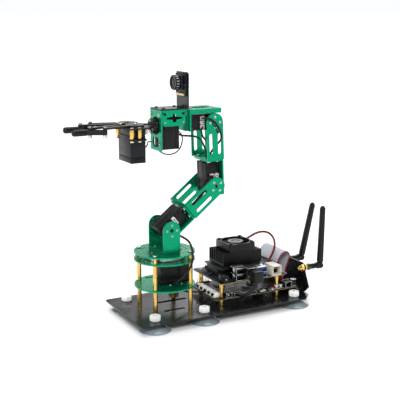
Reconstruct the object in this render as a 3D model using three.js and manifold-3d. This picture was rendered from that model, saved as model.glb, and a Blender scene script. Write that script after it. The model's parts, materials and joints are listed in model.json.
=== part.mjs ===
// Desktop articulated robot arm with a gripper, a head camera and its control electronics.
// Millimetres, +Z up. The arm reaches towards -X and the electronics stand at +X.
// Everything is laid out from the base turning axis (x = 0, y = 0) at floor level,
// and the finished group is shifted so that its origin is the middle of its footprint.
import * as THREE from 'three';
import { mergeVertices } from 'three/addons/utils/BufferGeometryUtils.js';
import Module from 'manifold-3d';

const wasm = await Module();
wasm.setup();

// ---------------------------------------------------------------- driving dimensions
const GAP = 0.3; // clearance between touching pieces
const SHEET = 2; // thickness of bent and flat sheet metal
const OVERLAP = 0.5; // how far fused pieces sink into each other

const PLATE = { left: -60, right: 196, half: 61, top: 12.5, chamfer: 14, corner: 4 };
const FOOT = { xs: [-35, 35, 173], y: 44.7, cup: 20.5, stud: 2.8, nut: 7.6, nutHeight: 7 };

const TOWER = { disc: 39.7, pillar: 25, hex: 2.9, lower: 44.7, middle: 79.5, top: 89 };
const TURN = { radius: 28.6, ring: 29.3, boss: 10, bearingIn: 16, bearingOut: 27 };

const LINK = 82.85; // shoulder to elbow, and elbow to wrist
const SHOULDER_Z = 119.3;
const REST = { shoulder: 38.5, elbow: 92.1, wrist: 180 }; // link directions above +X, degrees
const EAR = { inner: 20.5, radius: 12, hornRadius: 9.5, screwCircle: 7, bore: 2.6 };
const SERVO = { back: -10, front: 30, half: 10, deep: 12.5 };
const CRADLE = { back: -12.3, end: 34.2, half: 20, tail: 10, rearHeight: 6 };
const FRAME = { base: 34.5, half: 12 };
const HOOD = { end: 72.6, flange: 6 };

const ROLL = { z: 251.5, left: -10.7, right: 27.3, half: 15.5, top: 271.5, bottom: 220.5 };
const CAMERA = { z: 304.4, board: 14, lens: 9.6, plate: 16, sheet: 1.5, top: 317.6, lip: 3 };
const GRIP = { gearX: -44.5, gearY: 13, arm: 45.3, angle: 14.07, offsetX: -16, offsetY: 8 };
const GRIP_FLANGE = { radius: 9.6, plate: -17.6, tray: 16 };
const GRIP_PLATE = { bottom: 251.9, rear: -17.9, front: -70 };
const FINGER = { tip: -127, y: 15, thick: 5.6, base: 4 };

const CARRIER = { x0: 61, x1: 161, y0: -42, y1: 38, bottom: 43.4, thick: 1.6 };
const DRIVER = { x0: 57, x1: 187, y0: -36, y1: 41, bottom: 20.5, thick: 1.6 };
const COOLER = { x: 107.5, y: 2, bottom: 59.5, top: 77.5, length: 59, width: 39, channels: 7 };
const MODULE = { half: 35, y0: -21, y1: 25 };
const FAN = { size: 40, top: 88, rotor: 18.2 };

const SWITCH = { xs: [125.5, 134.5], ys: [-35, -30], high: 2.6, slot: 1.3, knob: [127, 129.2] };
const BUTTON = { x: 146, y: -32.4, radius: 1.9, collar: 2.4, travel: 0.8 };

const ANTENNA = { x: 194, ys: [11, -34.7], z: 47, knuckle: 222, blade: 84, thick: 7 };
const ANTENNA_SWIVEL = [11, 0]; // lean of each antenna about its stub, degrees
const ANTENNA_FOLD = [4.5, 1.5]; // lean of each blade away from the base plate, degrees

// ---------------------------------------------------------------- materials
const finish = (color, roughness, metalness) => () =>
  new THREE.MeshStandardMaterial({ color, roughness, metalness });

const greenAluminium = finish(0x0b9a6a, 0.38, 0.75);
const blackPlate = finish(0x14161a, 0.28, 0.6);
const blackPlastic = finish(0x1d1f22, 0.55, 0.0);
const brass = finish(0xc79a3a, 0.3, 1.0);
const steel = finish(0xb8bcc0, 0.3, 1.0);
const clearRubber = finish(0x9fb2c4, 0.25, 0.0);
const circuitBoard = finish(0x10141a, 0.5, 0.1);
const blackRubber = finish(0x0d0e10, 0.35, 0.0);
const ribbonPlastic = finish(0xb9bcc2, 0.5, 0.0);
const redWire = finish(0x8c1a1e, 0.45, 0.0);
const blackWire = finish(0x151516, 0.5, 0.0);
const lensGlass = finish(0x0a0b10, 0.08, 0.2);

// ---------------------------------------------------------------- solid helpers
function toSolid(geometry) {
  const bare = geometry.index ? geometry.toNonIndexed() : geometry.clone();
  for (const name of Object.keys(bare.attributes)) {
    if (name !== 'position') bare.deleteAttribute(name);
  }
  const merged = mergeVertices(bare, 1e-4);
  return new wasm.Manifold(new wasm.Mesh({
    numProp: 3,
    vertProperties: new Float32Array(merged.attributes.position.array),
    triVerts: new Uint32Array(merged.index.array),
  }));
}

function toGeometry(solid) {
  const mesh = solid.getMesh();
  const geometry = new THREE.BufferGeometry();
  geometry.setAttribute('position', new THREE.BufferAttribute(mesh.vertProperties, 3));
  geometry.setIndex(new THREE.BufferAttribute(mesh.triVerts, 1));
  return geometry;
}

function join(...pieces) {
  const solids = pieces.flat().map(toSolid);
  return toGeometry(solids.slice(1).reduce((sum, piece) => sum.add(piece), solids[0]));
}

function cut(body, ...tools) {
  const solids = tools.flat().map(toSolid);
  return toGeometry(solids.reduce((rest, tool) => rest.subtract(tool), toSolid(body)));
}

function block([x0, x1], [y0, y1], [z0, z1]) {
  const geometry = new THREE.BoxGeometry(x1 - x0, y1 - y0, z1 - z0);
  return geometry.translate((x0 + x1) / 2, (y0 + y1) / 2, (z0 + z1) / 2);
}

// A round bar along one axis, from low to high, centred on the other two coordinates.
function bar(axis, radius, [low, high], [a, b] = [0, 0], sides = 20) {
  const geometry = new THREE.CylinderGeometry(radius, radius, high - low, sides);
  const middle = (low + high) / 2;
  if (axis === 'x') return geometry.rotateZ(-Math.PI / 2).translate(middle, a, b);
  if (axis === 'z') return geometry.rotateX(Math.PI / 2).translate(a, b, middle);
  return geometry.translate(a, middle, b);
}

// A flat outline pushed up +Z from one height to another.
function slab(outline, [low, high], curveSegments = 1) {
  const options = { depth: high - low, bevelEnabled: false, curveSegments };
  return new THREE.ExtrudeGeometry(outline, options).translate(0, 0, low);
}

// An outline in (x, z) turned upright, spanning a range of y.
function wall(outline, [low, high], curveSegments = 1) {
  return slab(outline, [-high, -low], curveSegments).rotateX(Math.PI / 2);
}

// An outline in (y, z) turned upright, spanning a range of x.
function bulkhead(outline, [low, high], curveSegments = 1) {
  const upright = slab(outline, [low, high], curveSegments);
  return upright.rotateX(Math.PI / 2).rotateZ(Math.PI / 2);
}

function outlineOf(points) {
  return new THREE.Shape(points.map(([x, y]) => new THREE.Vector2(x, y)));
}

// A rectangle with rounded corners.
function roundedBox([x0, x1], [y0, y1], radius) {
  const shape = new THREE.Shape();
  shape.moveTo(x0 + radius, y0);
  shape.lineTo(x1 - radius, y0);
  shape.absarc(x1 - radius, y0 + radius, radius, -Math.PI / 2, 0);
  shape.lineTo(x1, y1 - radius);
  shape.absarc(x1 - radius, y1 - radius, radius, 0, Math.PI / 2);
  shape.lineTo(x0 + radius, y1);
  shape.absarc(x0 + radius, y1 - radius, radius, Math.PI / 2, Math.PI);
  shape.lineTo(x0, y0 + radius);
  shape.absarc(x0 + radius, y0 + radius, radius, Math.PI, 1.5 * Math.PI);
  return shape;
}

// A straight strip that ends in a half circle at its far end.
function tongue([x0, x1], half) {
  const shape = new THREE.Shape();
  shape.moveTo(x0, -half);
  shape.lineTo(x1, -half);
  shape.absarc(x1, 0, half, -Math.PI / 2, Math.PI / 2);
  shape.lineTo(x0, half);
  shape.closePath();
  return shape;
}

// A lead of round section along a smooth route.
function lead(points, radius, sides = 6) {
  const route = new THREE.CatmullRomCurve3(points.map((p) => new THREE.Vector3(...p)));
  const section = new THREE.Shape();
  for (let i = 0; i < sides; i += 1) {
    const angle = (i / sides) * 2 * Math.PI;
    const corner = [radius * Math.cos(angle), radius * Math.sin(angle)];
    if (i === 0) section.moveTo(...corner);
    else section.lineTo(...corner);
  }
  section.closePath();
  const steps = Math.max(6, Math.round(route.getLength() / (6 * radius)));
  return new THREE.ExtrudeGeometry(section, { steps, extrudePath: route, bevelEnabled: false });
}

const arm = new THREE.Group();

function add(parent, name, geometry, material) {
  const mesh = new THREE.Mesh(geometry, material());
  mesh.name = name;
  parent.add(mesh);
  return mesh;
}

const fourWays = [[-1, -1], [1, -1], [-1, 1], [1, 1]];
const radians = THREE.MathUtils.degToRad;

// ---------------------------------------------------------------- base plate and feet
function basePlate() {
  const { left, right, half, top, chamfer, corner } = PLATE;
  const shape = new THREE.Shape();
  shape.moveTo(left + corner, -half);
  shape.lineTo(right - chamfer, -half);
  shape.lineTo(right, chamfer - half);
  shape.lineTo(right, half - chamfer);
  shape.lineTo(right - chamfer, half);
  shape.lineTo(left + corner, half);
  shape.absarc(left + corner, half - corner, corner, Math.PI / 2, Math.PI);
  shape.absarc(left + corner, corner - half, corner, Math.PI, 1.5 * Math.PI);
  const span = [top - SHEET - 1, top + 1];
  const studs = FOOT.xs.flatMap((x) =>
    [-FOOT.y, FOOT.y].map((y) => bar('z', 3.4, span, [x, y], 10)));
  const slots = [
    slab(roundedBox([-8, 40], [13, 19], 3), span),
    slab(roundedBox([-10, 20], [-22, -16], 3), span),
  ];
  return cut(slab(shape, [top - SHEET, top]), studs, slots);
}

// Suction cup, its stud through the plate and the six-lobed thumb nut on top.
function suctionFoot() {
  const { cup, stud, nut, nutHeight } = FOOT;
  const under = PLATE.top - SHEET - GAP;
  const above = PLATE.top + GAP;
  const profile = [
    [0, 3.4], [8, 3.2], [15, 2], [cup - 1.2, 0], [cup, 0], [cup - 0.3, 1.3],
    [13, 5.4], [8.5, 7.2], [7.5, under], [0, under],
  ];
  const dome = new THREE.LatheGeometry(profile.map((p) => new THREE.Vector2(...p)), 16);
  const lobes = new THREE.Shape();
  const steps = 18;
  for (let i = 0; i < steps; i += 1) {
    const angle = (i / steps) * 2 * Math.PI;
    const reach = nut * (0.91 + 0.09 * Math.cos(6 * angle));
    const corner = [reach * Math.cos(angle), reach * Math.sin(angle)];
    if (i === 0) lobes.moveTo(...corner);
    else lobes.lineTo(...corner);
  }
  lobes.closePath();
  return join(
    dome.rotateX(Math.PI / 2),
    bar('z', stud, [under - 1, above + 1], [0, 0], 8),
    slab(lobes, [above, above + nutHeight]),
  );
}

// ---------------------------------------------------------------- turning tower
function hexagon(radius, span, [x, y]) {
  return bar('z', radius, span, [x, y], 6);
}

// Brass hexagon spacers with their studs: plate, lower disc, middle disc and top ring.
function pillar(x, y) {
  const { hex, lower, middle, top } = TOWER;
  const stud = 1.3;
  return join(
    hexagon(hex, [PLATE.top + GAP, lower - SHEET - GAP], [x, y]),
    hexagon(hex, [lower + GAP, middle - SHEET - GAP], [x, y]),
    hexagon(hex, [middle + GAP, top - SHEET - GAP], [x, y]),
    bar('z', stud, [PLATE.top + 1, top + 1], [x, y], 6),
    bar('z', 2.6, [top + GAP, top + 1.9], [x, y], 8),
  );
}

function pillarHoles(height) {
  const span = [height - SHEET - 1, height + 1];
  return fourWays.map(([i, j]) => bar('z', 1.8, span, [i * TOWER.pillar, j * TOWER.pillar], 6));
}

function disc(height) {
  return bar('z', TOWER.disc, [height - SHEET, height], [0, 0], 40);
}

function lowerDisc() {
  const span = [TOWER.lower - SHEET - 1, TOWER.lower + 1];
  return cut(
    disc(TOWER.lower),
    pillarHoles(TOWER.lower),
    slab(roundedBox([-14, -2], [28, 32.5], 2), span),
    slab(roundedBox([6, 24], [-6, 6], 2), span),
  );
}

function middleDisc() {
  const span = [TOWER.middle - SHEET - 1, TOWER.middle + 1];
  return cut(disc(TOWER.middle), pillarHoles(TOWER.middle), bar('z', 12, span, [0, 0], 24));
}

function topRing() {
  const span = [TOWER.top - SHEET - 1, TOWER.top + 1];
  return cut(disc(TOWER.top), pillarHoles(TOWER.top), bar('z', TURN.ring, span, [0, 0], 40));
}

function slewBearing() {
  const low = TOWER.middle + GAP;
  const high = TOWER.top - SHEET - 2 * GAP;
  return cut(
    bar('z', TURN.bearingOut, [low, high], [0, 0], 32),
    bar('z', TURN.bearingIn, [low - 1, high + 1], [0, 0], 24),
  );
}

function turntable() {
  const low = TOWER.top - SHEET;
  const screws = fourWays.map(([i, j]) => bar('z', 1.6, [low - 1, low + 5], [i * 20, j * 6], 8));
  return cut(
    join(
      bar('z', TURN.radius, [low, TOWER.top], [0, 0], 40),
      bar('z', TURN.boss, [TOWER.middle + 2.5, low + 0.5], [0, 0], 20),
    ),
    screws,
  );
}

function baseServo() {
  const { lower, middle } = TOWER;
  const roof = middle - SHEET - GAP;
  return join(
    block([SERVO.back, SERVO.front], [-10, 10], [lower + GAP, roof]),
    bar('z', 8.5, [roof - 1, middle + 1.9], [0, 0], 24),
  );
}

// ---------------------------------------------------------------- arm links
// A link is drawn along its own +X, with the joint axis through the local origin along Y.
// The cradle's web lies on the local -Z side of the servo.

function hornBoss(side, [x, z] = [0, 0]) {
  const faces = [SERVO.deep + GAP, EAR.inner + 0.5].map((d) => d * side).sort((a, b) => a - b);
  return bar('y', EAR.hornRadius, faces, [x, z], 16);
}

function earBores([x, z] = [0, 0]) {
  const reach = EAR.inner + SHEET + 1;
  const centre = bar('y', EAR.bore, [-reach, reach], [x, z], 10);
  const screws = [[1, 0], [0, 1], [-1, 0], [0, -1]].map(([i, j]) => {
    const at = [x + i * EAR.screwCircle, z + j * EAR.screwCircle];
    return bar('y', 1, [-reach, reach], at, 6);
  });
  return [centre, ...screws];
}

function shoulderBracket() {
  const floor = TOWER.top + GAP;
  const outer = EAR.inner + SHEET;
  const ear = new THREE.Shape();
  ear.moveTo(-EAR.radius, floor);
  ear.lineTo(EAR.radius, floor);
  ear.lineTo(EAR.radius, SHOULDER_Z);
  ear.absarc(0, SHOULDER_Z, EAR.radius, 0, Math.PI);
  ear.closePath();
  const axis = [0, SHOULDER_Z];
  return cut(
    join(
      block([-EAR.radius, EAR.radius], [-outer, outer], [floor, floor + SHEET]),
      wall(ear, [-outer, -EAR.inner], 5),
      wall(ear, [EAR.inner, outer], 5),
      hornBoss(-1, axis),
      hornBoss(1, axis),
    ),
    earBores(axis),
  );
}

function jointServo() {
  const { back, front, half, deep } = SERVO;
  const edge = 1.2;
  const profile = outlineOf([
    [back + edge, -half], [front - edge, -half], [front, edge - half], [front, half - edge],
    [front - edge, half], [back + edge, half], [back, half - edge], [back, edge - half],
  ]);
  return cut(wall(profile, [-deep, deep]), bar('y', 2, [-deep - 1, deep + 1], [0, 0], 12));
}

function cradle() {
  const { back, end, half, tail, rearHeight } = CRADLE;
  const floor = -SERVO.half - GAP - SHEET;
  const window = roundedBox([-2, 22], [-7, 7], 3);
  const mouth = roundedBox([-7, 7], [-6, 5], 2);
  return cut(
    join(
      slab(roundedBox([back, end], [-half, half], 1.5), [floor, floor + SHEET]),
      bulkhead(roundedBox([-half, half], [floor, tail], 1.5), [end - SHEET, end]),
      bulkhead(roundedBox([-half, half], [floor, floor + rearHeight], 1), [back, SERVO.back - GAP]),
    ),
    slab(window, [floor - 1, floor + SHEET + 1]),
    bulkhead(mouth, [end - SHEET - 1, end + 1]),
  );
}

// U frame with slotted ears that carries the next joint's horns.
function linkFrame() {
  const { base, half } = FRAME;
  const outer = EAR.inner + SHEET;
  const reach = [-outer - 1, outer + 1];
  const slots = [[-8.6, -3.6], [3.6, 8.6]].map((width) =>
    wall(roundedBox([base + 7, LINK - 14], width, 2.4), reach));
  return cut(
    join(
      bulkhead(roundedBox([-outer, outer], [-half, half], 4), [base, base + SHEET]),
      wall(tongue([base, LINK], half), [-outer, -EAR.inner], 5),
      wall(tongue([base, LINK], half), [EAR.inner, outer], 5),
      hornBoss(-1, [LINK, 0]),
      hornBoss(1, [LINK, 0]),
    ),
    slots,
    earBores([LINK, 0]),
    bulkhead(roundedBox([-7, 7], [-6, 6], 2), [base - 1, base + SHEET + 1]),
  );
}

function linkGroup(x, z, direction) {
  const group = new THREE.Group();
  group.position.set(x, 0, z);
  group.rotation.y = -radians(direction);
  arm.add(group);
  return group;
}

const elbow = {
  x: LINK * Math.cos(radians(REST.shoulder)),
  z: SHOULDER_Z + LINK * Math.sin(radians(REST.shoulder)),
};
const wrist = {
  x: elbow.x + LINK * Math.cos(radians(REST.elbow)),
  z: elbow.z + LINK * Math.sin(radians(REST.elbow)),
};

// ---------------------------------------------------------------- wrist roll unit
// Inverted channel over the wrist servo, flush with the top of the roll servo's housing.
function wristBracket() {
  const { half } = CRADLE;
  const { end, flange } = HOOD;
  const { right, top } = ROLL;
  const start = right + GAP;
  const sides = [[-half, SHEET - half], [half - SHEET, half]].map((across) =>
    block([start, end], across, [top - flange, top]));
  const window = roundedBox([wrist.x - 22, wrist.x + 2], [-7, 7], 3);
  const mouth = roundedBox([-7, 7], [wrist.z - 6, wrist.z + 5], 2);
  return cut(
    join(
      block([start, end], [-half, half], [top - SHEET, top]),
      sides,
      bulkhead(roundedBox([-half, half], [wrist.z - CRADLE.tail, top], 1.5), [start, start + SHEET]),
    ),
    slab(window, [top - SHEET - 1, top + 1]),
    bulkhead(mouth, [start - 1, start + SHEET + 1]),
  );
}

function rollHousing() {
  const { left, right, half, top, bottom, z } = ROLL;
  const foot = wrist.z - CRADLE.tail;
  const tab = roundedBox([left + 2.2, right - 3.5], [z, top - 1], 4);
  const star = outlineOf([
    [-2.5, 2], [-2.5, 5], [2.5, 5], [2.5, 2], [11, 1], [11, -1],
    [2.5, -2], [2.5, -5], [-2.5, -5], [-2.5, -2], [-11, -1], [-11, 1],
  ].reverse());
  const reach = [-half - 1, half + 1];
  const starCut = wall(star, reach).translate((left + right) / 2, 0, (z + top) / 2);
  return cut(
    join(
      block([left, right], [-half, half], [top - SHEET, top]),
      bulkhead(roundedBox([-half, half], [bottom, top], 2), [left, left + SHEET]),
      bulkhead(roundedBox([-half, half], [foot, top], 2), [right - SHEET, right]),
      wall(tab, [-half, -half + SHEET]),
      wall(tab, [half - SHEET, half]),
    ),
    starCut,
    bar('x', 11.6, [left - 1, left + SHEET + 1], [0, z], 20),
    bulkhead(roundedBox([-8, 8], [bottom + 4, z - 14], 3), [left - 1, left + SHEET + 1]),
  );
}

function rollServo() {
  const { left, z } = ROLL;
  const x0 = left + SHEET + 1.2;
  return block([x0, x0 + 2 * SERVO.deep], [-SERVO.half, SERVO.half], [z - 30, z + 10]);
}

const cameraFace = ROLL.right + 1 - CAMERA.sheet - GAP;

function cameraBracket() {
  const { left, right, half } = ROLL;
  const { plate, sheet, top, lip } = CAMERA;
  const floor = ROLL.top + GAP;
  const face = right + 1;
  const holes = [-10, 10].map((y) => bar('z', 1.6, [floor - 1, floor + 3], [left + 6, y], 12));
  return cut(
    join(
      block([left, face], [-half, half], [floor, floor + sheet]),
      bulkhead(roundedBox([-plate, plate], [floor, top], 3), [face - sheet, face]),
      block([face - lip, face], [3 - plate, plate - 3], [top - sheet, top]),
    ),
    holes,
  );
}

function cameraModule() {
  const { z, board } = CAMERA;
  const face = cameraFace;
  const bore = 5.6;
  return cut(
    join(
      block([face - 1.6, face], [-board, board], [z - 17, z + 11]),
      block([face - 5.5, face - 1], [-9, 9], [z - 9, z + 9]),
      bar('x', 8.2, [face - 6.5, face - 5], [0, z], 24),
      block([face - 3.4, face - 1], [-11, 11], [z - 16.6, z - 13.2]),
    ),
    bar('x', bore, [face - 10, face - 4.4], [0, z], 24),
  );
}

function cameraLens() {
  const { z, lens } = CAMERA;
  const face = cameraFace;
  return join(
    bar('x', lens, [face - 13, face - 6.5 - GAP], [0, z], 24),
    bar('x', 5, [face - 10, face - 4.4 - GAP], [0, z], 24),
  );
}

// ---------------------------------------------------------------- gripper
function gripperFlange() {
  const { left, z } = ROLL;
  const { radius, plate, tray } = GRIP_FLANGE;
  const face = left + SHEET + 1.2 - GAP;
  const floor = GRIP_PLATE.bottom - GAP;
  return cut(
    join(
      bar('x', radius, [plate, face], [0, z], 24),
      block([plate - tray, plate + OVERLAP], [-radius + 1, radius - 1], [floor - SHEET, floor]),
    ),
    bar('x', 2.6, [plate - 1, face + 1], [0, z - 5], 12),
  );
}

function gripperPlate() {
  const { bottom, rear, front } = GRIP_PLATE;
  const top = bottom + SHEET;
  const shape = outlineOf([
    [rear, -11], [rear, 11], [-32, 27], [-57, 27], [-63, 12], [front, 9],
    [front, -9], [-63, -12], [-57, -27.5], [-32, -27.5],
  ].reverse());
  const pivotX = GRIP.gearX + GRIP.offsetX;
  const pins = [-1, 1].flatMap((side) => [
    bar('z', 1.5, [top - 1, top + 3.4], [GRIP.gearX, side * GRIP.gearY], 10),
    bar('z', 1.5, [top - 1, top + 3.4], [pivotX, side * (GRIP.gearY - GRIP.offsetY)], 10),
  ]);
  const posts = [[-54, -25], [-44, -25], [-54, 19.5], [-44, 19.5]].map((at) =>
    bar('z', 2.3, [bottom - 11, bottom + 0.5], at, 6));
  const lightening = slab(roundedBox([-30, -20], [-5, 5], 2), [bottom - 1, top + 1]);
  return cut(join(slab(shape, [bottom, top]), pins, posts), lightening);
}

function gripperServo() {
  const top = GRIP_PLATE.bottom - GAP;
  const height = 42;
  const [x0, x1] = [GRIP.gearX - 10, GRIP.gearX + 10];
  const lug = top - 11.2;
  return join(
    block([x0, x1], [-22, 16.6], [top - height, top]),
    block([x0 + 1, x1 - 1], [-28, 22.6], [lug - 2.5, lug]),
  );
}

// Gear teeth: a row of trapezoids round a hub, on the side that faces the other gear.
function toothedHub(side, phase) {
  const teeth = 20;
  const pitch = 2 * Math.PI / teeth;
  const hub = 11.3;
  const tip = 13.9;
  const shape = new THREE.Shape();
  const facing = side < 0 ? Math.PI / 2 : -Math.PI / 2;
  const corners = [];
  for (let i = 0; i < teeth; i += 1) {
    const angle = facing + (i + phase) * pitch;
    const offset = Math.atan2(Math.sin(angle - facing), Math.cos(angle - facing));
    if (Math.abs(offset) > radians(66)) {
      corners.push([hub, angle - pitch / 4], [hub, angle + pitch / 4]);
    } else {
      corners.push([hub, angle - 0.24 * pitch], [tip, angle - 0.09 * pitch]);
      corners.push([tip, angle + 0.09 * pitch], [hub, angle + 0.24 * pitch]);
    }
  }
  corners.forEach(([radius, angle], i) => {
    const at = [radius * Math.cos(angle), radius * Math.sin(angle)];
    if (i === 0) shape.moveTo(...at);
    else shape.lineTo(...at);
  });
  shape.closePath();
  return shape;
}

const gripAngle = (side) => Math.PI + side * -radians(GRIP.angle);

function armStrip(half) {
  const shape = new THREE.Shape();
  shape.moveTo(0, -half);
  shape.lineTo(GRIP.arm, -half);
  shape.absarc(GRIP.arm, 0, half, -Math.PI / 2, Math.PI / 2);
  shape.lineTo(0, half);
  shape.absarc(0, 0, half, Math.PI / 2, 1.5 * Math.PI);
  return shape;
}

const linkLayer = [GRIP_PLATE.bottom + SHEET + GAP, GRIP_PLATE.bottom + SHEET + 2.8];

function linkEnd(side) {
  return [GRIP.arm * Math.cos(gripAngle(side)), GRIP.arm * Math.sin(gripAngle(side))];
}

function linkBore(radius, at) {
  return bar('z', radius, [linkLayer[0] - 1, linkLayer[1] + 1], at, 10);
}

function gearLink(side) {
  const strip = slab(armStrip(3.2), linkLayer).rotateZ(gripAngle(side));
  const gear = slab(toothedHub(side, side < 0 ? 0 : 0.5), linkLayer);
  return cut(join(strip, gear), linkBore(1.8, [0, 0]), linkBore(1.8, linkEnd(side)));
}

function followerLink(side) {
  const strip = slab(armStrip(2.9), linkLayer).rotateZ(gripAngle(side));
  return cut(strip, linkBore(1.8, [0, 0]), linkBore(2.1, linkEnd(side)));
}

// Finger with its two pivot pins and the rubber sleeve at its tip, drawn for the side at -Y.
function finger(side) {
  const roof = linkLayer[0] - GAP;
  const floor = roof - FINGER.thick;
  const [endX, endY] = linkEnd(side);
  const ax = GRIP.gearX + endX;
  const ay = side * GRIP.gearY + endY;
  const bx = ax + GRIP.offsetX;
  const by = ay - side * GRIP.offsetY;
  const half = FINGER.base;
  const inner = side * (FINGER.y - 2.2);
  const outer = side * (FINGER.y + 2.2);
  const points = [
    [ax + half, ay - side * half * 0.4], [ax + half * 0.4, ay + side * half],
    [ax - half, ay + side * half], [bx - 5, by + side * 3.2],
    [FINGER.tip + 18, outer], [FINGER.tip + 2, outer], [FINGER.tip + 2, inner],
    [FINGER.tip + 18, inner], [bx + 2, by - side * 3.4],
  ];
  const shape = outlineOf(side < 0 ? points.reverse() : points);
  const sleeve = new THREE.CapsuleGeometry(3.9, 12, 3, 10);
  sleeve.rotateZ(Math.PI / 2).translate(FINGER.tip + 9.8, side * FINGER.y, (roof + floor) / 2);
  const pins = [[ax, ay], [bx, by]].flatMap((at) => [
    bar('z', 1.5, [floor - 1, linkLayer[1] + 0.2], at, 10),
    bar('z', 2.4, [floor - 3.4, floor + 0.5], at, 6),
  ]);
  return join(slab(shape, [floor, roof]), sleeve, pins);
}

// ---------------------------------------------------------------- electronics
function standoff(x, y, span) {
  return hexagon(TOWER.hex, span, [x, y]);
}

const boardPosts = [[-43, -29], [43, -29], [-43, 29], [43, 29]].map(([i, j]) => [
  (CARRIER.x0 + CARRIER.x1) / 2 + i,
  (CARRIER.y0 + CARRIER.y1) / 2 + j,
]);

const driverTop = DRIVER.bottom + DRIVER.thick;

// Slide switch housing with the slot its knob runs in.
function switchHousing() {
  const { xs, ys, high, slot } = SWITCH;
  const roof = driverTop + high;
  const rim = 1.1;
  return cut(
    block(xs, ys, [driverTop - OVERLAP, roof]),
    block([xs[0] + rim, xs[1] - rim], [ys[0] + rim, ys[1] - rim], [roof - slot, roof + 1]),
  );
}

function switchKnob() {
  const { knob, ys, high, slot } = SWITCH;
  const inset = 1.5;
  const floor = driverTop + high - slot + GAP;
  return block(knob, [ys[0] + inset, ys[1] - inset], [floor, driverTop + high + 1.6]);
}

// Collar of the push button, open from the top.
function buttonCollar() {
  const { x, y, radius, collar } = BUTTON;
  const reach = radius + 1.2;
  return cut(
    block([x - reach, x + reach], [y - reach, y + reach], [driverTop - OVERLAP, driverTop + collar]),
    bar('z', radius + 0.4, [driverTop, driverTop + collar + 1], [x, y], 12),
  );
}

function pushButton() {
  const { x, y, radius, collar, travel } = BUTTON;
  const rest = driverTop + travel + GAP;
  return bar('z', radius, [rest, rest + collar + GAP], [x, y], 12);
}

function driverBoard() {
  const { x0, x1, y0, y1, bottom } = DRIVER;
  const top = driverTop;
  const servoSockets = Array.from({ length: 5 }, (_, i) => {
    const y = y0 + 9 + i * 10.4;
    return block([x0 + 1.5, x0 + 10.5], [y, y + 8.6], [top - OVERLAP, top + 6.2]);
  });
  const end = [x1 - 16, x1 - 7];
  return join(
    slab(roundedBox([x0, x1], [y0, y1], 3), [bottom, top]),
    boardPosts.map(([x, y]) => standoff(x, y, [PLATE.top + GAP, bottom + OVERLAP])),
    servoSockets,
    switchHousing(),
    buttonCollar(),
    block(end, [-22, 34], [top - OVERLAP, top + 9]),
    bar('z', 4.2, [top - OVERLAP, top + 11], [x1 - 6.5, y0 + 5], 16),
    block([x0 + 26, x0 + 40], [8, 22], [top - OVERLAP, top + 3]),
    block([x0 + 27, x0 + 41], [y0 - 1.5, y0 + 8], [top - OVERLAP, top + 5]),
  );
}

// Single-board computer carrier with its posts, sockets and the processor module.
function carrierBoard() {
  const { x0, x1, y0, y1, bottom, thick } = CARRIER;
  const top = bottom + thick;
  const low = top - OVERLAP;
  const front = y0 - 1.6;
  const mouths = [
    block([x0 + 79.2, x0 + 90.8], [front - 1, front + 13], [top + 1.6, top + 11.6]),
    block([x0 + 56.4, x0 + 68.1], [front - 1, front + 12], [top + 2, top + 7]),
    block([x0 + 56.4, x0 + 68.1], [front - 1, front + 12], [top + 9, top + 14]),
    block([x0 + 23.6, x0 + 37], [front - 1, front + 10], [top + 2.4, top + 7.4]),
    block([x0 + 23.6, x0 + 37], [front - 1, front + 10], [top + 11, top + 16]),
  ];
  const { half, y0: moduleFront, y1: moduleBack } = MODULE;
  const moduleSpan = [COOLER.x - half, COOLER.x + half];
  const posts = boardPosts.map(([x, y]) =>
    standoff(x, y, [driverTop + GAP, bottom + OVERLAP]));
  const nuts = boardPosts.map(([x, y]) => bar('z', 2.6, [low, top + 2.2], [x, y], 6));
  return cut(
    join(
      slab(roundedBox([x0, x1], [y0, y1], 3), [bottom, top]),
      posts,
      nuts,
      block([x0 + 3, x0 + 11], [front, front + 14], [low, top + 10]),
      block([x0 + 22, x0 + 38.5], [front, front + 18], [low, top + 18.5]),
      block([x0 + 40, x0 + 54], [front, front + 18], [low, top + 15.6]),
      block([x0 + 55, x0 + 69.5], [front, front + 18], [low, top + 15.6]),
      block([x0 + 78, x0 + 92], [front, front + 21], [low, top + 13.5]),
      block([moduleSpan[0] + 1, moduleSpan[1] - 1], [-10, 20], [low, COOLER.bottom - 3.2]),
      block(moduleSpan, [moduleFront, moduleBack], [COOLER.bottom - 3.4, COOLER.bottom - GAP]),
      block([x1 - 9, x1 - 1], [-18, 33], [low, top + 8.5]),
      block([x1 - 18, x1 - 13], [-21, -10.5], [low, top + 6.5]),
    ),
    mouths,
  );
}

function heatsink() {
  const { x, y, bottom, top, length, width } = COOLER;
  const [halfX, halfY] = [length / 2, width / 2];
  const fin = 1.4;
  const foot = 3.5;
  const pitch = (width - fin) / COOLER.channels;
  const channels = Array.from({ length: COOLER.channels }, (_, i) => {
    const start = y - halfY + fin + i * pitch;
    const across = [start, start + pitch - fin];
    return block([x - halfX - 1, x + halfX + 1], across, [bottom + foot, top + 1]);
  });
  return cut(block([x - halfX, x + halfX], [y - halfY, y + halfY], [bottom, top]), channels);
}

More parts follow.
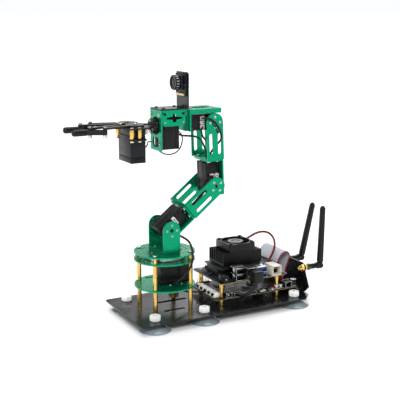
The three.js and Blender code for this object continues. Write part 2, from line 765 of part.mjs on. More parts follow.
function fanFrame() {
  const { size, top, rotor } = FAN;
  const low = COOLER.top + GAP;
  const { x, y } = COOLER;
  const half = size / 2;
  const web = 1.6;
  const pin = 1.4;
  const shell = cut(
    slab(roundedBox([x - half, x + half], [y - half, y + half], 3), [low, top]),
    bar('z', rotor + 0.8, [low + web, top + 1], [x, y], 28),
    bar('z', rotor - 1, [low - 1, low + 2], [x, y], 28),
  );
  const struts = [0, 1, 2].map((i) => {
    const strut = block([0, rotor + 0.4], [-1.1, 1.1], [low, low + web]);
    return strut.rotateZ(i * 2 * Math.PI / 3 + 0.5).translate(x, y, 0);
  });
  const hub = join(
    bar('z', 8.5, [low, low + web], [x, y], 16),
    bar('z', pin, [low + 1, low + 5], [x, y], 8),
  );
  const screws = fourWays.map(([i, j]) => {
    const at = [x + 0.4 * size * i, y + 0.4 * size * j];
    return bar('z', 1.6, [low - 1, top + 1], at, 6);
  });
  return cut(join(shell, struts, hub), screws);
}

function fanRotor() {
  const low = COOLER.top + GAP + 2;
  const high = FAN.top - 0.6;
  const { x, y } = COOLER;
  const blades = 7;
  const hub = cut(
    bar('z', 9, [low, high], [x, y], 20),
    bar('z', 1.7, [low - 1, low + 4], [x, y], 8),
  );
  const vanes = Array.from({ length: blades }, (_, i) => {
    const vane = block([8.2, FAN.rotor], [-0.7, 0.7], [-4.2, 4.2]);
    vane.rotateX(radians(52));
    return vane.rotateZ(i * 2 * Math.PI / blades).translate(x, y, (low + high) / 2);
  });
  return join(hub, vanes);
}

// Flat cable that loops over from the computer to the driver board.
function ribbonCable() {
  const centre = [
    [163, 51.5], [164.6, 57], [168.6, 63.4], [174.6, 67.6], [180.6, 66.4],
    [182.8, 60.6], [180, 52], [176.6, 43], [175.6, 32.2],
  ].map((p) => new THREE.Vector2(...p));
  const samples = new THREE.SplineCurve(centre).getPoints(22);
  const half = 0.6;
  const sides = samples.map((p, i) => {
    const before = samples[Math.max(i - 1, 0)];
    const after = samples[Math.min(i + 1, samples.length - 1)];
    const normal = new THREE.Vector2(before.y - after.y, after.x - before.x).normalize();
    return [p.clone().addScaledVector(normal, half), p.clone().addScaledVector(normal, -half)];
  });
  const ring = [...sides.map((s) => s[0]), ...sides.map((s) => s[1]).reverse()];
  return wall(new THREE.Shape(ring), [-18, 33]);
}

// ---------------------------------------------------------------- antennas
function antennaBracket() {
  const x0 = ANTENNA.x;
  const floor = PLATE.top + GAP;
  const shape = outlineOf([
    [-37.5, floor], [37.5, floor], [48, 22], [33, 53.4], [-33, 53.4], [-48, 22],
  ]);
  const holes = ANTENNA.ys.map((y) => bar('x', 3.3, [x0 - 1, x0 + SHEET + 1], [y, ANTENNA.z], 20));
  const foot = block([x0 - 5.5, x0 + 1], [-34, 34], [floor, floor + SHEET]);
  return cut(join(bulkhead(shape, [x0, x0 + SHEET]), foot), holes);
}

// Stub drawn along +X from the bracket, ending in the fork that holds the blade.
function antennaBase() {
  const start = ANTENNA.x;
  const fork = ANTENNA.knuckle;
  return join(
    bar('x', 3, [start - 4, start + SHEET + 1], [0, 0], 12),
    bar('x', 4.4, [start + SHEET + GAP, start + 9], [0, 0], 12),
    bar('x', 3.8, [start + 8, fork - 5.2], [0, 0], 12),
    [-1, 1].map((side) => {
      const faces = [side * 1.9, side * 3.7].sort((a, b) => a - b);
      const cheek = tongue([fork - 6, fork], 3.6);
      return wall(cheek, faces, 4);
    }),
    bar('y', 1, [-2.5, 2.5], [fork, 0], 8),
  );
}

// Blade drawn upright from its knuckle at the local origin.
function antennaBlade() {
  const { blade, thick } = ANTENNA;
  const section = (half) => roundedBox([-half, half], [-half * 0.92, half * 0.92], half * 0.6);
  const wide = thick / 2 + 0.6;
  const narrow = thick / 2;
  const lower = slab(section(wide), [5.2, blade - 3], 2);
  const position = lower.attributes.position;
  for (let i = 0; i < position.count; i += 1) {
    const along = (position.getZ(i) - 5.2) / (blade - 8.2);
    const scale = 1 + along * (narrow / wide - 1);
    position.setX(i, position.getX(i) * scale);
    position.setY(i, position.getY(i) * scale);
  }
  const dome = 0.93 * narrow;
  const cap = new THREE.SphereGeometry(dome, 10, 6).translate(0, 0, blade - dome);
  const tongueOutline = roundedBox([-3.4, 3.4], [-3.4, 7], 3.3);
  return cut(
    join(lower, cap, wall(tongueOutline, [-1.55, 1.55])),
    bar('y', 1.15, [-3, 3], [0, 0], 10),
  );
}

// ---------------------------------------------------------------- assembly
add(arm, 'base_plate', basePlate(), blackPlate);
let footNumber = 0;
for (const y of [-FOOT.y, FOOT.y]) {
  for (const x of FOOT.xs) {
    footNumber += 1;
    add(arm, `suction_foot_${footNumber}`, suctionFoot(), clearRubber).position.set(x, y, 0);
  }
}

fourWays.forEach(([i, j], n) => {
  add(arm, `pillar_${n + 1}`, pillar(i * TOWER.pillar, j * TOWER.pillar), brass);
});
add(arm, 'lower_disc', lowerDisc(), greenAluminium);
add(arm, 'middle_disc', middleDisc(), greenAluminium);
add(arm, 'top_ring', topRing(), greenAluminium);
add(arm, 'slew_bearing', slewBearing(), steel);
add(arm, 'base_servo', baseServo(), blackPlastic);
add(arm, 'turntable', turntable(), greenAluminium);
add(arm, 'shoulder_bracket', shoulderBracket(), greenAluminium);

const upperArm = linkGroup(0, SHOULDER_Z, REST.shoulder);
add(upperArm, 'shoulder_servo', jointServo(), blackPlastic);
add(upperArm, 'upper_arm_cradle', cradle(), greenAluminium);
add(upperArm, 'upper_arm_frame', linkFrame(), greenAluminium);

const forearm = linkGroup(elbow.x, elbow.z, REST.elbow);
add(forearm, 'elbow_servo', jointServo(), blackPlastic);
add(forearm, 'forearm_cradle', cradle(), greenAluminium);
add(forearm, 'forearm_frame', linkFrame(), greenAluminium);

const hand = linkGroup(wrist.x, wrist.z, REST.wrist);
add(hand, 'wrist_servo', jointServo(), blackPlastic);

add(arm, 'wrist_bracket', wristBracket(), greenAluminium);
add(arm, 'roll_servo_housing', rollHousing(), greenAluminium);
add(arm, 'roll_servo', rollServo(), blackPlastic);
add(arm, 'camera_bracket', cameraBracket(), blackPlate);
add(arm, 'camera_module', cameraModule(), blackPlastic);
add(arm, 'camera_lens', cameraLens(), lensGlass);

add(arm, 'gripper_flange', gripperFlange(), blackPlate);
add(arm, 'gripper_plate', gripperPlate(), blackPlate);
add(arm, 'gripper_servo', gripperServo(), blackPlastic);
for (const [word, side] of [['left', -1], ['right', 1]]) {
  const y = side * GRIP.gearY;
  add(arm, `${word}_gear_link`, gearLink(side), blackPlate).position.set(GRIP.gearX, y, 0);
  const follower = add(arm, `${word}_follower_link`, followerLink(side), blackPlate);
  follower.position.set(GRIP.gearX + GRIP.offsetX, y - side * GRIP.offsetY, 0);
  add(arm, `${word}_finger`, finger(side), blackRubber);
}

add(arm, 'driver_board', driverBoard(), circuitBoard);
add(arm, 'carrier_board', carrierBoard(), circuitBoard);
add(arm, 'heatsink', heatsink(), blackPlate);
add(arm, 'fan_frame', fanFrame(), blackPlastic);
add(arm, 'fan_rotor', fanRotor(), blackPlastic);
add(arm, 'ribbon_cable', ribbonCable(), ribbonPlastic);

add(arm, 'antenna_bracket', antennaBracket(), blackPlate);
ANTENNA.ys.forEach((y, i) => {
  const swivel = new THREE.Group();
  swivel.position.set(0, y, ANTENNA.z);
  swivel.rotation.x = radians(ANTENNA_SWIVEL[i]);
  arm.add(swivel);
  add(swivel, `antenna_${i + 1}_base`, antennaBase(), blackPlastic);
  const blade = add(swivel, `antenna_${i + 1}_blade`, antennaBlade(), blackPlastic);
  blade.position.set(ANTENNA.knuckle, 0, 0);
  blade.rotation.y = radians(ANTENNA_FOLD[i]);
});

add(arm, 'power_switch', switchKnob(), blackPlastic);
add(arm, 'reset_button', pushButton(), redWire);

// ---------------------------------------------------------------- leads
add(arm, 'fan_lead', lead([
  [128, 10, 84.5], [134, 9.6, 87.6], [144, 8, 92.2], [154, 5, 93.8], [162, 1, 90.8],
  [165.6, -4, 83.5], [163.5, -9, 74.5], [157, -13, 65], [149.6, -15.4, 58], [146, -15.8, 52.6],
], 1), redWire);
add(arm, 'usb_cable', lead([
  [108.5, -44.2, 50.6], [108.4, -50, 50], [107.6, -55, 46.4], [104.6, -57, 41],
  [99.6, -55.6, 35], [94.6, -51.4, 29.6], [91.6, -45.4, 26], [91, -38.1, 25],
], 2.4, 8), blackWire);

add(arm, 'base_lead', lead([
  [15, 0, 44], [15.4, -0.6, 39], [19, -2.4, 33.5], [29, -4.4, 29.5], [42, -5.6, 27], [58.2, -5.9, 25.6],
], 1.5), blackWire);
add(arm, 'shoulder_lead', lead([
  [12.6, -9.5, 110.4], [18.5, -15.5, 107.6], [22.4, -26, 103.4], [21.6, -36, 97.4], [20, -42, 89],
  [17.5, -43.4, 79], [12.6, -41, 67.6], [6, -34, 56.6], [2.4, -24, 49.4], [4.6, -16.4, 47], [8, -12.4, 47],
], 1.5), blackWire);
add(upperArm, 'elbow_lead', lead([
  [87.2, -14.6, 13.3], [82, -15.6, 14.4], [75, -15.2, 12], [67, -12.5, 7.4], [58, -8, 2.6],
  [48, -3, 0], [38, -0.4, -0.5], [30.6, 0, -0.5],
], 1.3), blackWire);
add(arm, 'wrist_lead', lead([
  [18.4, -4, 240], [24, -5, 237.4], [32, -6.4, 236.6], [42, -7, 235], [50, -6, 230], [55.6, -4, 222.6],
  [60, -2, 215], [62.8, -0.6, 208.6], [63.7, 0, 201.6],
], 1.4), blackWire);
add(arm, 'gripper_lead', lead([
  [-34, -10, 228], [-27, -4.6, 226.4], [-19.6, 6, 227.6], [-13, 17.6, 229], [-6.4, 19.6, 227],
  [-3.4, 13, 220.4], [-3, 4, 217.6], [-2.6, -7, 216.4], [1.6, -12.6, 216], [9.6, -13.4, 217.4],
  [16.4, -13.2, 222.6], [20.8, -11.4, 231.4], [21.6, -8, 239], [18.6, -5.2, 244],
], 0.9), blackWire);

const box = new THREE.Box3().setFromObject(arm, true);
arm.position.set(-(box.min.x + box.max.x) / 2, -(box.min.y + box.max.y) / 2, -box.min.z);

export default arm;
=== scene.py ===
"""Desktop jointed robot arm: looks, leads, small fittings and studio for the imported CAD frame.

Shapes are drawn in millimetres in the local frame of the piece they belong to: the base axis at
floor level, or a link with its own +X along the link. They are placed in metres in the row frame.
"""
import json
import math

import bmesh
import bpy
from mathutils import Matrix, Vector


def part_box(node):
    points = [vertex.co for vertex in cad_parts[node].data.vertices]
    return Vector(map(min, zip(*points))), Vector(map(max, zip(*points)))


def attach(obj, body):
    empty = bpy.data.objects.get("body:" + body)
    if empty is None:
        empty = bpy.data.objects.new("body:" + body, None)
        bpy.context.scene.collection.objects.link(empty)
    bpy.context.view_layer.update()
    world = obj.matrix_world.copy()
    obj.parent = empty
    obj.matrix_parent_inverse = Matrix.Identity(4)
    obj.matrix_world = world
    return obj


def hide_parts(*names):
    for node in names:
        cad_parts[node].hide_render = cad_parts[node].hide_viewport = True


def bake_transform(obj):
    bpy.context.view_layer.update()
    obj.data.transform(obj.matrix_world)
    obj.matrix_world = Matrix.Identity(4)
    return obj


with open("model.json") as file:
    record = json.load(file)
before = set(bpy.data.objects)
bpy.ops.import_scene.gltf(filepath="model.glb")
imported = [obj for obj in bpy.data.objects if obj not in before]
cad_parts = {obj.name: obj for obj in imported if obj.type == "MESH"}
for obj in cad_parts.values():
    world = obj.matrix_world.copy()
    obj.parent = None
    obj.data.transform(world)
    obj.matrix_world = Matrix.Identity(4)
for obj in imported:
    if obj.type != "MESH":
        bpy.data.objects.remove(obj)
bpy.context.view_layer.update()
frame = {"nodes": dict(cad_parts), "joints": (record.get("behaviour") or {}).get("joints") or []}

# ------------------------------------------------------------------ places taken from the frame
MM = 0.001
PIVOT = {joint["name"]: Vector(joint["pos_m"]) for joint in frame["joints"] if "pos_m" in joint}


def link_frame(start, end):
    """Local frame of a link: origin at its pivot, +X along the link, +Y across the joints."""
    along = end - start
    return Matrix.Translation(start) @ Matrix.Rotation(-math.atan2(along.z, along.x), 4, "Y")


AXIS_X = PIVOT["base_yaw"].x
BASE = Matrix.Translation((AXIS_X, 0, 0))
UPPER = link_frame(PIVOT["shoulder_pitch"], PIVOT["elbow_pitch"])
FOREARM = link_frame(PIVOT["elbow_pitch"], PIVOT["wrist_pitch"])
HAND = link_frame(PIVOT["wrist_pitch"], PIVOT["wrist_pitch"] - Vector((1, 0, 0)))
LINK = (PIVOT["elbow_pitch"] - PIVOT["shoulder_pitch"]).length / MM


SMOOTH_BELOW = math.radians(32)
BEVEL_ABOVE = math.radians(35)
FOUR_WAYS = [(-1, -1), (1, -1), (-1, 1), (1, 1)]
CROSS = [(1, 0), (0, 1), (-1, 0), (0, -1)]


def extent(node):
    """A node's lowest and highest corner, in millimetres from the base axis."""
    low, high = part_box(node)
    shift = Vector((AXIS_X, 0, 0))
    return (Vector(low) - shift) / MM, (Vector(high) - shift) / MM


def add_object(name, data):
    made = bpy.data.objects.new(name, data)
    bpy.context.scene.collection.objects.link(made)
    return made


# ------------------------------------------------------------------ materials
class Nodes:
    """A material with one Principled shader, and short calls that build on it."""

    def __init__(self, name, color, roughness, metallic=0.0):
        self.material = bpy.data.materials.new(name)
        self.material.use_nodes = True
        self.tree = self.material.node_tree
        self.shader = self.tree.nodes["Principled BSDF"]
        self.color = (*color, 1.0)
        self.roughness = roughness
        self.set("Base Color", self.color)
        self.set("Roughness", roughness)
        self.set("Metallic", metallic)
        self.place = self.tree.nodes.new("ShaderNodeTexCoord").outputs["Object"]

    def set(self, socket, value):
        self.shader.inputs[socket].default_value = value

    def node(self, kind, **inputs):
        made = self.tree.nodes.new(kind)
        for key, value in inputs.items():
            made.inputs[key.replace("_", " ")].default_value = value
        return made

    def link(self, output, target):
        self.tree.links.new(output, target)

    def stretched(self, stretch):
        mapping = self.node("ShaderNodeMapping")
        mapping.inputs["Scale"].default_value = stretch
        self.link(self.place, mapping.inputs["Vector"])
        return mapping.outputs["Vector"]

    def noise(self, scale, detail=3.0, stretch=(1, 1, 1)):
        noise = self.node("ShaderNodeTexNoise", Scale=scale, Detail=detail, Roughness=0.6)
        self.link(self.stretched(stretch), noise.inputs["Vector"])
        return noise.outputs["Fac"]

    def ranged(self, value, low, high, start=0.3, stop=0.7):
        span = self.node("ShaderNodeMapRange")
        for key, number in (("From Min", start), ("From Max", stop), ("To Min", low), ("To Max", high)):
            span.inputs[key].default_value = number
        self.link(value, span.inputs["Value"])
        return span.outputs["Result"]

    def vary_roughness(self, source, spread):
        low, high = max(0.02, self.roughness - spread), min(1.0, self.roughness + spread)
        self.link(self.ranged(source, low, high), self.shader.inputs["Roughness"])

    def vary_color(self, source, darker, lighter):
        ramp = self.node("ShaderNodeValToRGB")
        ends = ramp.color_ramp.elements
        ends[0].position, ends[1].position = 0.3, 0.72
        ends[0].color = (*[c * darker for c in self.color[:3]], 1)
        ends[1].color = (*[min(1, c * lighter) for c in self.color[:3]], 1)
        self.link(source, ramp.inputs["Fac"])
        self.link(ramp.outputs["Color"], self.shader.inputs["Base Color"])

    def bump(self, source, strength, depth):
        bump = self.node("ShaderNodeBump", Strength=strength, Distance=depth)
        self.link(source, bump.inputs["Height"])
        self.link(bump.outputs["Normal"], self.shader.inputs["Normal"])


def anodised(name, color, roughness=0.34, metallic=0.55):
    """Bead-blasted and dyed aluminium: a fine sparkle, with faint handling marks."""
    look = Nodes(name, color, roughness, metallic)
    look.set("Specular IOR Level", 0.3)
    look.vary_color(look.noise(35, 3), 0.93, 1.06)
    look.vary_roughness(look.noise(60, 3), 0.04)
    look.bump(look.noise(4200, 2), 0.12, 0.00004)
    return look.material


def coated(name, color, roughness, metallic=0.3):
    """Black coated sheet: smooth and reflecting, with a trace of orange peel."""
    look = Nodes(name, color, roughness, metallic)
    look.set("Specular IOR Level", 0.4)
    look.vary_color(look.noise(22, 3), 0.8, 1.3)
    look.vary_roughness(look.noise(60, 5), 0.08)
    look.bump(look.noise(2600, 2), 0.18, 0.00004)
    return look.material


def moulded(name, color, roughness, grain=3200, spread=0.07):
    """Moulded plastic with a fine spark-eroded grain."""
    look = Nodes(name, color, roughness)
    look.set("Specular IOR Level", 0.2)
    look.vary_color(look.noise(30, 3), 0.86, 1.16)
    look.vary_roughness(look.noise(140, 4), spread)
    look.bump(look.noise(grain, 2), 0.3, 0.00006)
    return look.material


def turned(name, color, roughness=0.24, stretch=(1, 1, 12)):
    """Turned or drawn metal with fine tool lines."""
    look = Nodes(name, color, roughness, 1.0)
    lines = look.noise(900, 2, stretch)
    look.vary_color(look.noise(160, 3), 0.84, 1.08)
    look.vary_roughness(lines, 0.1)
    look.bump(lines, 0.2, 0.00004)
    return look.material


def vinyl():
    """Clear soft vinyl of a suction cup, bluish where it is thick."""
    look = Nodes("clear_vinyl", (0.26, 0.32, 0.35), 0.12)
    look.set("Transmission Weight", 0.25)
    look.set("IOR", 1.5)
    look.set("Coat Weight", 0.6)
    look.vary_color(look.noise(40, 3), 0.8, 1.2)
    look.vary_roughness(look.noise(120, 4), 0.08)
    look.bump(look.noise(500, 2), 0.12, 0.0001)
    return look.material


def solder_mask(name, color):
    """Circuit board lacquer over copper tracks, which show as a faint raised pattern."""
    look = Nodes(name, color, 0.36)
    look.set("Specular IOR Level", 0.25)
    tracks = look.node("ShaderNodeTexVoronoi", Scale=260.0)
    tracks.feature = "DISTANCE_TO_EDGE"
    look.link(look.stretched((1, 1, 0.05)), tracks.inputs["Vector"])
    edge = look.ranged(tracks.outputs["Distance"], 1.0, 0.0, 0.0, 0.12)
    look.vary_color(edge, 0.8, 1.9)
    look.vary_roughness(look.noise(90, 3), 0.08)
    look.bump(edge, 0.25, 0.00006)
    return look.material


PAINT = {
    "green": anodised("anodised_green", (0.0, 0.29, 0.14), 0.26, 0.75),
    "black_sheet": coated("black_coated_sheet", (0.007, 0.0075, 0.009), 0.28),
    "plate": coated("base_plate_coat", (0.004, 0.0045, 0.0055), 0.24, 0.0),
    "servo": moulded("servo_case", (0.006, 0.0065, 0.008), 0.34),
    "plastic": moulded("black_plastic", (0.005, 0.005, 0.006), 0.32),
    "rubber": moulded("black_rubber", (0.008, 0.008, 0.009), 0.24, 1400),
    "brass": turned("brass", (0.8, 0.53, 0.14)),
    "gold": turned("gold_plate", (0.9, 0.62, 0.2), 0.2),
    "steel": turned("bright_steel", (0.72, 0.73, 0.75), 0.2),
    "tin": turned("tinned_shell", (0.5, 0.51, 0.53), 0.24, (1, 8, 1)),
    "horn": turned("dark_metal_horn", (0.09, 0.09, 0.1), 0.34),
    # Near-black painted shade, put in holes, socket mouths, screw slots and the seams of servo cases.
    "recess": moulded("painted_shade_dark", (0.004, 0.004, 0.005), 0.6),
    "white": moulded("white_plastic", (0.78, 0.78, 0.76), 0.3),
    "cream": moulded("cream_plastic", (0.62, 0.6, 0.52), 0.35),
    "vinyl": vinyl(),
    "board": solder_mask("dark_circuit_board", (0.004, 0.007, 0.013)),
    "module": solder_mask("module_board", (0.004, 0.011, 0.012)),
    "laminate": moulded("board_edge", (0.3, 0.22, 0.06), 0.45),
    "chip": moulded("chip_package", (0.014, 0.014, 0.015), 0.45),
    "copper": turned("copper_coil", (0.7, 0.3, 0.16), 0.34),
    "fins": anodised("black_heatsink", (0.006, 0.006, 0.007), 0.36, 0.5),
    "blue": moulded("blue_insert", (0.012, 0.06, 0.34), 0.3),
    "red": moulded("red_plastic", (0.5, 0.015, 0.02), 0.35),
    "red_wire": moulded("red_insulation", (0.22, 0.008, 0.012), 0.36, 1500),
    "black_wire": moulded("black_insulation", (0.012, 0.012, 0.013), 0.36, 1500),
    "ribbon": moulded("grey_flat_cable", (0.42, 0.43, 0.47), 0.42, 1500),
    "glass": moulded("coated_lens", (0.01, 0.008, 0.03), 0.05, 3000, 0.02),
    "label": moulded("grey_hub_disc", (0.16, 0.165, 0.175), 0.3),
}


# ------------------------------------------------------------------ shapes
class Shape:
    """Closed bodies drawn in millimetres in one local frame, made into one Blender object."""

    def __init__(self, name, local=BASE):
        self.name = name
        self.local = local
        self.mesh = bmesh.new()
        self.paints = []

    def paint(self, faces, color):
        if color not in self.paints:
            self.paints.append(color)
        for face in faces:
            face.material_index = self.paints.index(color)

    def soften(self, verts, width):
        """Rounds the sharp edges of the body that these vertices belong to."""
        edges = dict.fromkeys(e for v in verts for e in v.link_edges)
        sharp = [e for e in edges if e.is_manifold and e.calc_face_angle(0) > BEVEL_ABOVE]
        if width and sharp:
            bmesh.ops.bevel(self.mesh, geom=sharp, offset=width, segments=2, affect="EDGES", profile=0.5)

    def body(self, verts, color, width=0.0):
        self.paint(dict.fromkeys(f for v in verts for f in v.link_faces), color)
        self.soften(verts, width)

    def block(self, x, y, z, color, width=0.25):
        made = bmesh.ops.create_cube(self.mesh, size=1)["verts"]
        size = Vector((x[1] - x[0], y[1] - y[0], z[1] - z[0]))
        centre = Vector((sum(x), sum(y), sum(z))) / 2
        for vert in made:
            vert.co = centre + Vector(a * b for a, b in zip(vert.co, size))
        self.body(made, color, min(width, min(size) * 0.3))

    def pad(self, x, y, half, z, color, width=0.25):
        """A block whose footprint is a square about a point."""
        self.block((x - half, x + half), (y - half, y + half), z, color, width)

    def rod(self, axis, radius, span, centre, color, sides=28, width=0.2, tip=None):
        """A round bar along x, y or z. tip is the radius at its high end where it tapers."""
        made = bmesh.ops.create_cone(
            self.mesh, cap_ends=True, segments=sides, radius1=radius,
            radius2=radius if tip is None else tip, depth=span[1] - span[0],
        )["verts"]
        middle = (span[0] + span[1]) / 2
        for vert in made:
            x, y, z = vert.co
            a, b = centre
            if axis == "x":
                vert.co = (z + middle, x + a, y + b)
            elif axis == "y":
                vert.co = (y + a, z + middle, x + b)
            else:
                vert.co = (x + a, y + b, z + middle)
        self.body(made, color, min(width, radius * 0.3, (span[1] - span[0]) * 0.3))

    def prism(self, outline, span, axis, color, width=0.25):
        """A flat outline pushed along an axis: (x, y) along z, (x, z) along y, or (y, z) along x."""
        def point(u, v, w):
            return {"z": (u, v, w), "y": (u, w, v), "x": (w, u, v)}[axis]

        low = [self.mesh.verts.new(point(u, v, span[0])) for u, v in outline]
        high = [self.mesh.verts.new(point(u, v, span[1])) for u, v in outline]
        faces = [self.mesh.faces.new(low[::-1]), self.mesh.faces.new(high)]
        for i, corner in enumerate(low):
            j = (i + 1) % len(low)
            faces.append(self.mesh.faces.new((corner, low[j], high[j], high[i])))
        bmesh.ops.recalc_face_normals(self.mesh, faces=faces)
        self.body(low + high, color, width)

    def lathe(self, profile, axis, centre, color, sides=40, ripple=None):
        """A closed profile of (radius, height) turned about an axis; ripple(angle) scales the radius."""
        rings = []
        for step in range(sides):
            angle = 2 * math.pi * step / sides
            grow = ripple(angle) if ripple else 1
            ring = []
            for radius, height in profile:
                u, v = radius * grow * math.cos(angle), radius * grow * math.sin(angle)
                at = {"z": (u, v, height), "x": (height, u, v), "y": (v, height, u)}[axis]
                ring.append(self.mesh.verts.new(Vector(at) + Vector(centre)))
            rings.append(ring)
        faces = []
        for step, ring in enumerate(rings):
            following = rings[(step + 1) % sides]
            for i in range(len(ring)):
                j = (i + 1) % len(ring)
                faces.append(self.mesh.faces.new((ring[i], following[i], following[j], ring[j])))
        verts = [v for ring in rings for v in ring]
        bmesh.ops.remove_doubles(self.mesh, verts=verts, dist=1e-4)
        faces = [f for f in faces if f.is_valid]
        bmesh.ops.recalc_face_normals(self.mesh, faces=faces)
        self.paint(faces, color)

    def screw(self, axis, side, face, centre, radius=1.5, color="steel"):
        """A pan head screw standing on a face, with a cross slot in painted shade; side is which way it
        looks.
        """
        high = face + side * radius * 0.62
        self.rod(axis, radius, sorted((face, high)), centre, color, 20, radius * 0.3)
        a, b = centre
        arm, thin = radius * 0.62, radius * 0.16
        # The cross slot is a near-black block: painted shade where the head is cut in.
        slot = sorted((high - side * 0.15, high + side * 0.03))
        for u, v in ((arm, thin), (thin, arm)):
            spans = [(a - u, a + u), (b - v, b + v)]
            spans.insert("xyz".index(axis), slot)
            self.block(*spans, "recess", 0)

    def done(self, body, *stands_for):
        """Makes the object, in metres in the row frame, riding on a CAD body."""
        self.mesh.transform(self.local @ Matrix.Scale(MM, 4))
        data = bpy.data.meshes.new(self.name)
        self.mesh.to_mesh(data)
        self.mesh.free()
        for color in self.paints:
            data.materials.append(PAINT[color])
        smooth(data)
        made = add_object(self.name, data)
        if stands_for:
            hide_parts(*stands_for)
        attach(made, body)


def smooth(mesh):
    """Smooth shading that keeps the sharp edges."""
    mesh.shade_smooth()
    work = bmesh.new()
    work.from_mesh(mesh)
    for edge in work.edges:
        edge.smooth = len(edge.link_faces) != 2 or edge.calc_face_angle(0) < SMOOTH_BELOW
    work.to_mesh(mesh)
    work.free()


def rounded(x, y, radius, steps=4):
    """Corner points of a rectangle with rounded corners, anticlockwise."""
    corners = [(x[1] - radius, y[0] + radius, -90), (x[1] - radius, y[1] - radius, 0),
               (x[0] + radius, y[1] - radius, 90), (x[0] + radius, y[0] + radius, 180)]
    points = []
    for cx, cy, start in corners:
        for step in range(steps + 1):
            turn = math.radians(start + 90 * step / steps)
            points.append((cx + radius * math.cos(turn), cy + radius * math.sin(turn)))
    return points


# ------------------------------------------------------------------ camera, floor and light
CAMERA_PLACE = (AXIS_X - 0.4825, -1.0071, 0.3986)
CAMERA_DOWN = 12.31  # degrees below level
CAMERA_TURN = 27.97  # degrees to the right of +Y
CAMERA_LENS = 80.23
FLOOR_REACH = 40
SUNS = (  # name, where the light comes from, spread in degrees, power
    ("key", (-0.7, -1.3, 1.3), 26, 2.3),
    ("top", (0.1, 0.3, 1.0), 60, 2.2),
    ("side", (-1.7, 0.1, 0.6), 24, 0.5),
    ("back", (0.9, 1.2, 0.9), 30, 0.5),
)


def make_camera():
    """The viewing angle: from the front left, looking slightly down with a long lens."""
    data = bpy.data.cameras.new("camera")
    data.lens = CAMERA_LENS
    data.sensor_width = 36
    data.clip_end = 100
    camera = add_object("camera", data)
    camera.location = CAMERA_PLACE
    camera.rotation_euler = (math.radians(90 - CAMERA_DOWN), 0, math.radians(-CAMERA_TURN))
    bpy.context.scene.camera = camera


def make_studio():
    """A wide pale floor under a soft sky, with broad lights from the front left, above and behind."""
    floor_mesh = bpy.data.meshes.new("floor")
    corners = [(FLOOR_REACH * i, FLOOR_REACH * j, 0) for i, j in FOUR_WAYS]
    floor_mesh.from_pydata(corners, [], [(0, 1, 3, 2)])
    floor = add_object("floor", floor_mesh)
    look = Nodes("pale_floor", (0.9, 0.9, 0.9), 0.8)
    look.set("Specular IOR Level", 0.1)
    look.bump(look.noise(40, 2), 0.05, 0.0005)
    floor_mesh.materials.append(look.material)

    world = bpy.data.worlds.new("studio")
    world.use_nodes = True
    sky = world.node_tree
    sky.nodes["Background"].inputs["Color"].default_value = (0.98, 0.99, 1, 1)
    direction = sky.nodes.new("ShaderNodeTexCoord").outputs["Generated"]
    split = sky.nodes.new("ShaderNodeSeparateXYZ")
    fade = sky.nodes.new("ShaderNodeMapRange")
    for key, number in (("From Min", 0.12), ("From Max", 0.3), ("To Min", 1.0), ("To Max", 0.16)):
        fade.inputs[key].default_value = number
    sky.links.new(direction, split.inputs["Vector"])
    sky.links.new(split.outputs["Z"], fade.inputs["Value"])
    sky.links.new(fade.outputs["Result"], sky.nodes["Background"].inputs["Strength"])
    bpy.context.scene.world = world
    bpy.context.scene.view_settings.view_transform = "Standard"

    for name, place, spread, power in SUNS:
        light = bpy.data.lights.new(name, "SUN")
        light.angle = math.radians(spread)
        light.energy = power
        lamp = add_object(name, light)
        lamp.location = Vector(place)
        lamp.rotation_euler = (-lamp.location).to_track_quat("-Z", "Y").to_euler()


# ------------------------------------------------------------------ leads
def route(points, local=BASE):
    """Points of a lead in metres, from their places in a local frame in millimetres."""
    return [local @ (Vector(point) * MM) for point in points]


def smooth_route(points, step=0.0016):
    """The same route as one smooth curve with closely spaced points."""
    ends = [2 * points[0] - points[1], *points, 2 * points[-1] - points[-2]]
    fine = []
    for a, b, c, d in zip(ends, ends[1:], ends[2:], ends[3:]):
        count = max(2, round((c - b).length / step))
        for i in range(count):
            t = i / count
            curve = 2 * b + (c - a) * t + (2 * a - 5 * b + 4 * c - d) * t * t
            fine.append((curve + (3 * b - a - 3 * c + d) * t ** 3) / 2)
    return [*fine, points[-1]]


def tube(work, path, radius, offset, paint):
    """A round wire along a path, set off sideways and upwards from it, with closed ends."""
    sides = 10
    across = Vector((0, 1, 0.2))
    rings = []
    for i, point in enumerate(path):
        ahead = (path[min(i + 1, len(path) - 1)] - path[max(i - 1, 0)]).normalized()
        side = across - ahead * across.dot(ahead)
        side = side.normalized() if side.length > 0.05 else side
        up = ahead.cross(side).normalized()
        across = side
        centre = point + side * offset[0] + up * offset[1]
        turns = [2 * math.pi * k / sides for k in range(sides)]
        ring = [centre + (side * math.cos(t) + up * math.sin(t)) * radius for t in turns]
        rings.append([work.verts.new(corner) for corner in ring])
    faces = [work.faces.new(rings[0][::-1]), work.faces.new(rings[-1])]
    for ring, following in zip(rings, rings[1:]):
        for k in range(sides):
            m = (k + 1) % sides
            faces.append(work.faces.new((ring[k], ring[m], following[m], following[k])))
    for face in faces:
        face.material_index = paint
        face.smooth = True
    bmesh.ops.recalc_face_normals(work, faces=faces)


def wires(name, path, strands, paints, stands_for=None):
    """Parallel wires (offset, radius, paint number) along one path, as one piece."""
    work = bmesh.new()
    for offset, radius, paint in strands:
        tube(work, path, radius, offset, paint)
    data = bpy.data.meshes.new(name)
    work.to_mesh(data)
    work.free()
    for color in paints:
        data.materials.append(PAINT[color])
    piece = add_object(name, data)
    if stands_for:
        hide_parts(stands_for)
    return piece


def three_wires(radius):
    """A servo lead: three black wires lying together."""
    wire = radius * 0.5
    spread = wire * 0.98
    low = -wire * 0.55
    return [((-spread, low), wire, 0), ((spread, low), wire, 0), ((0, spread * 0.85), wire, 0)]


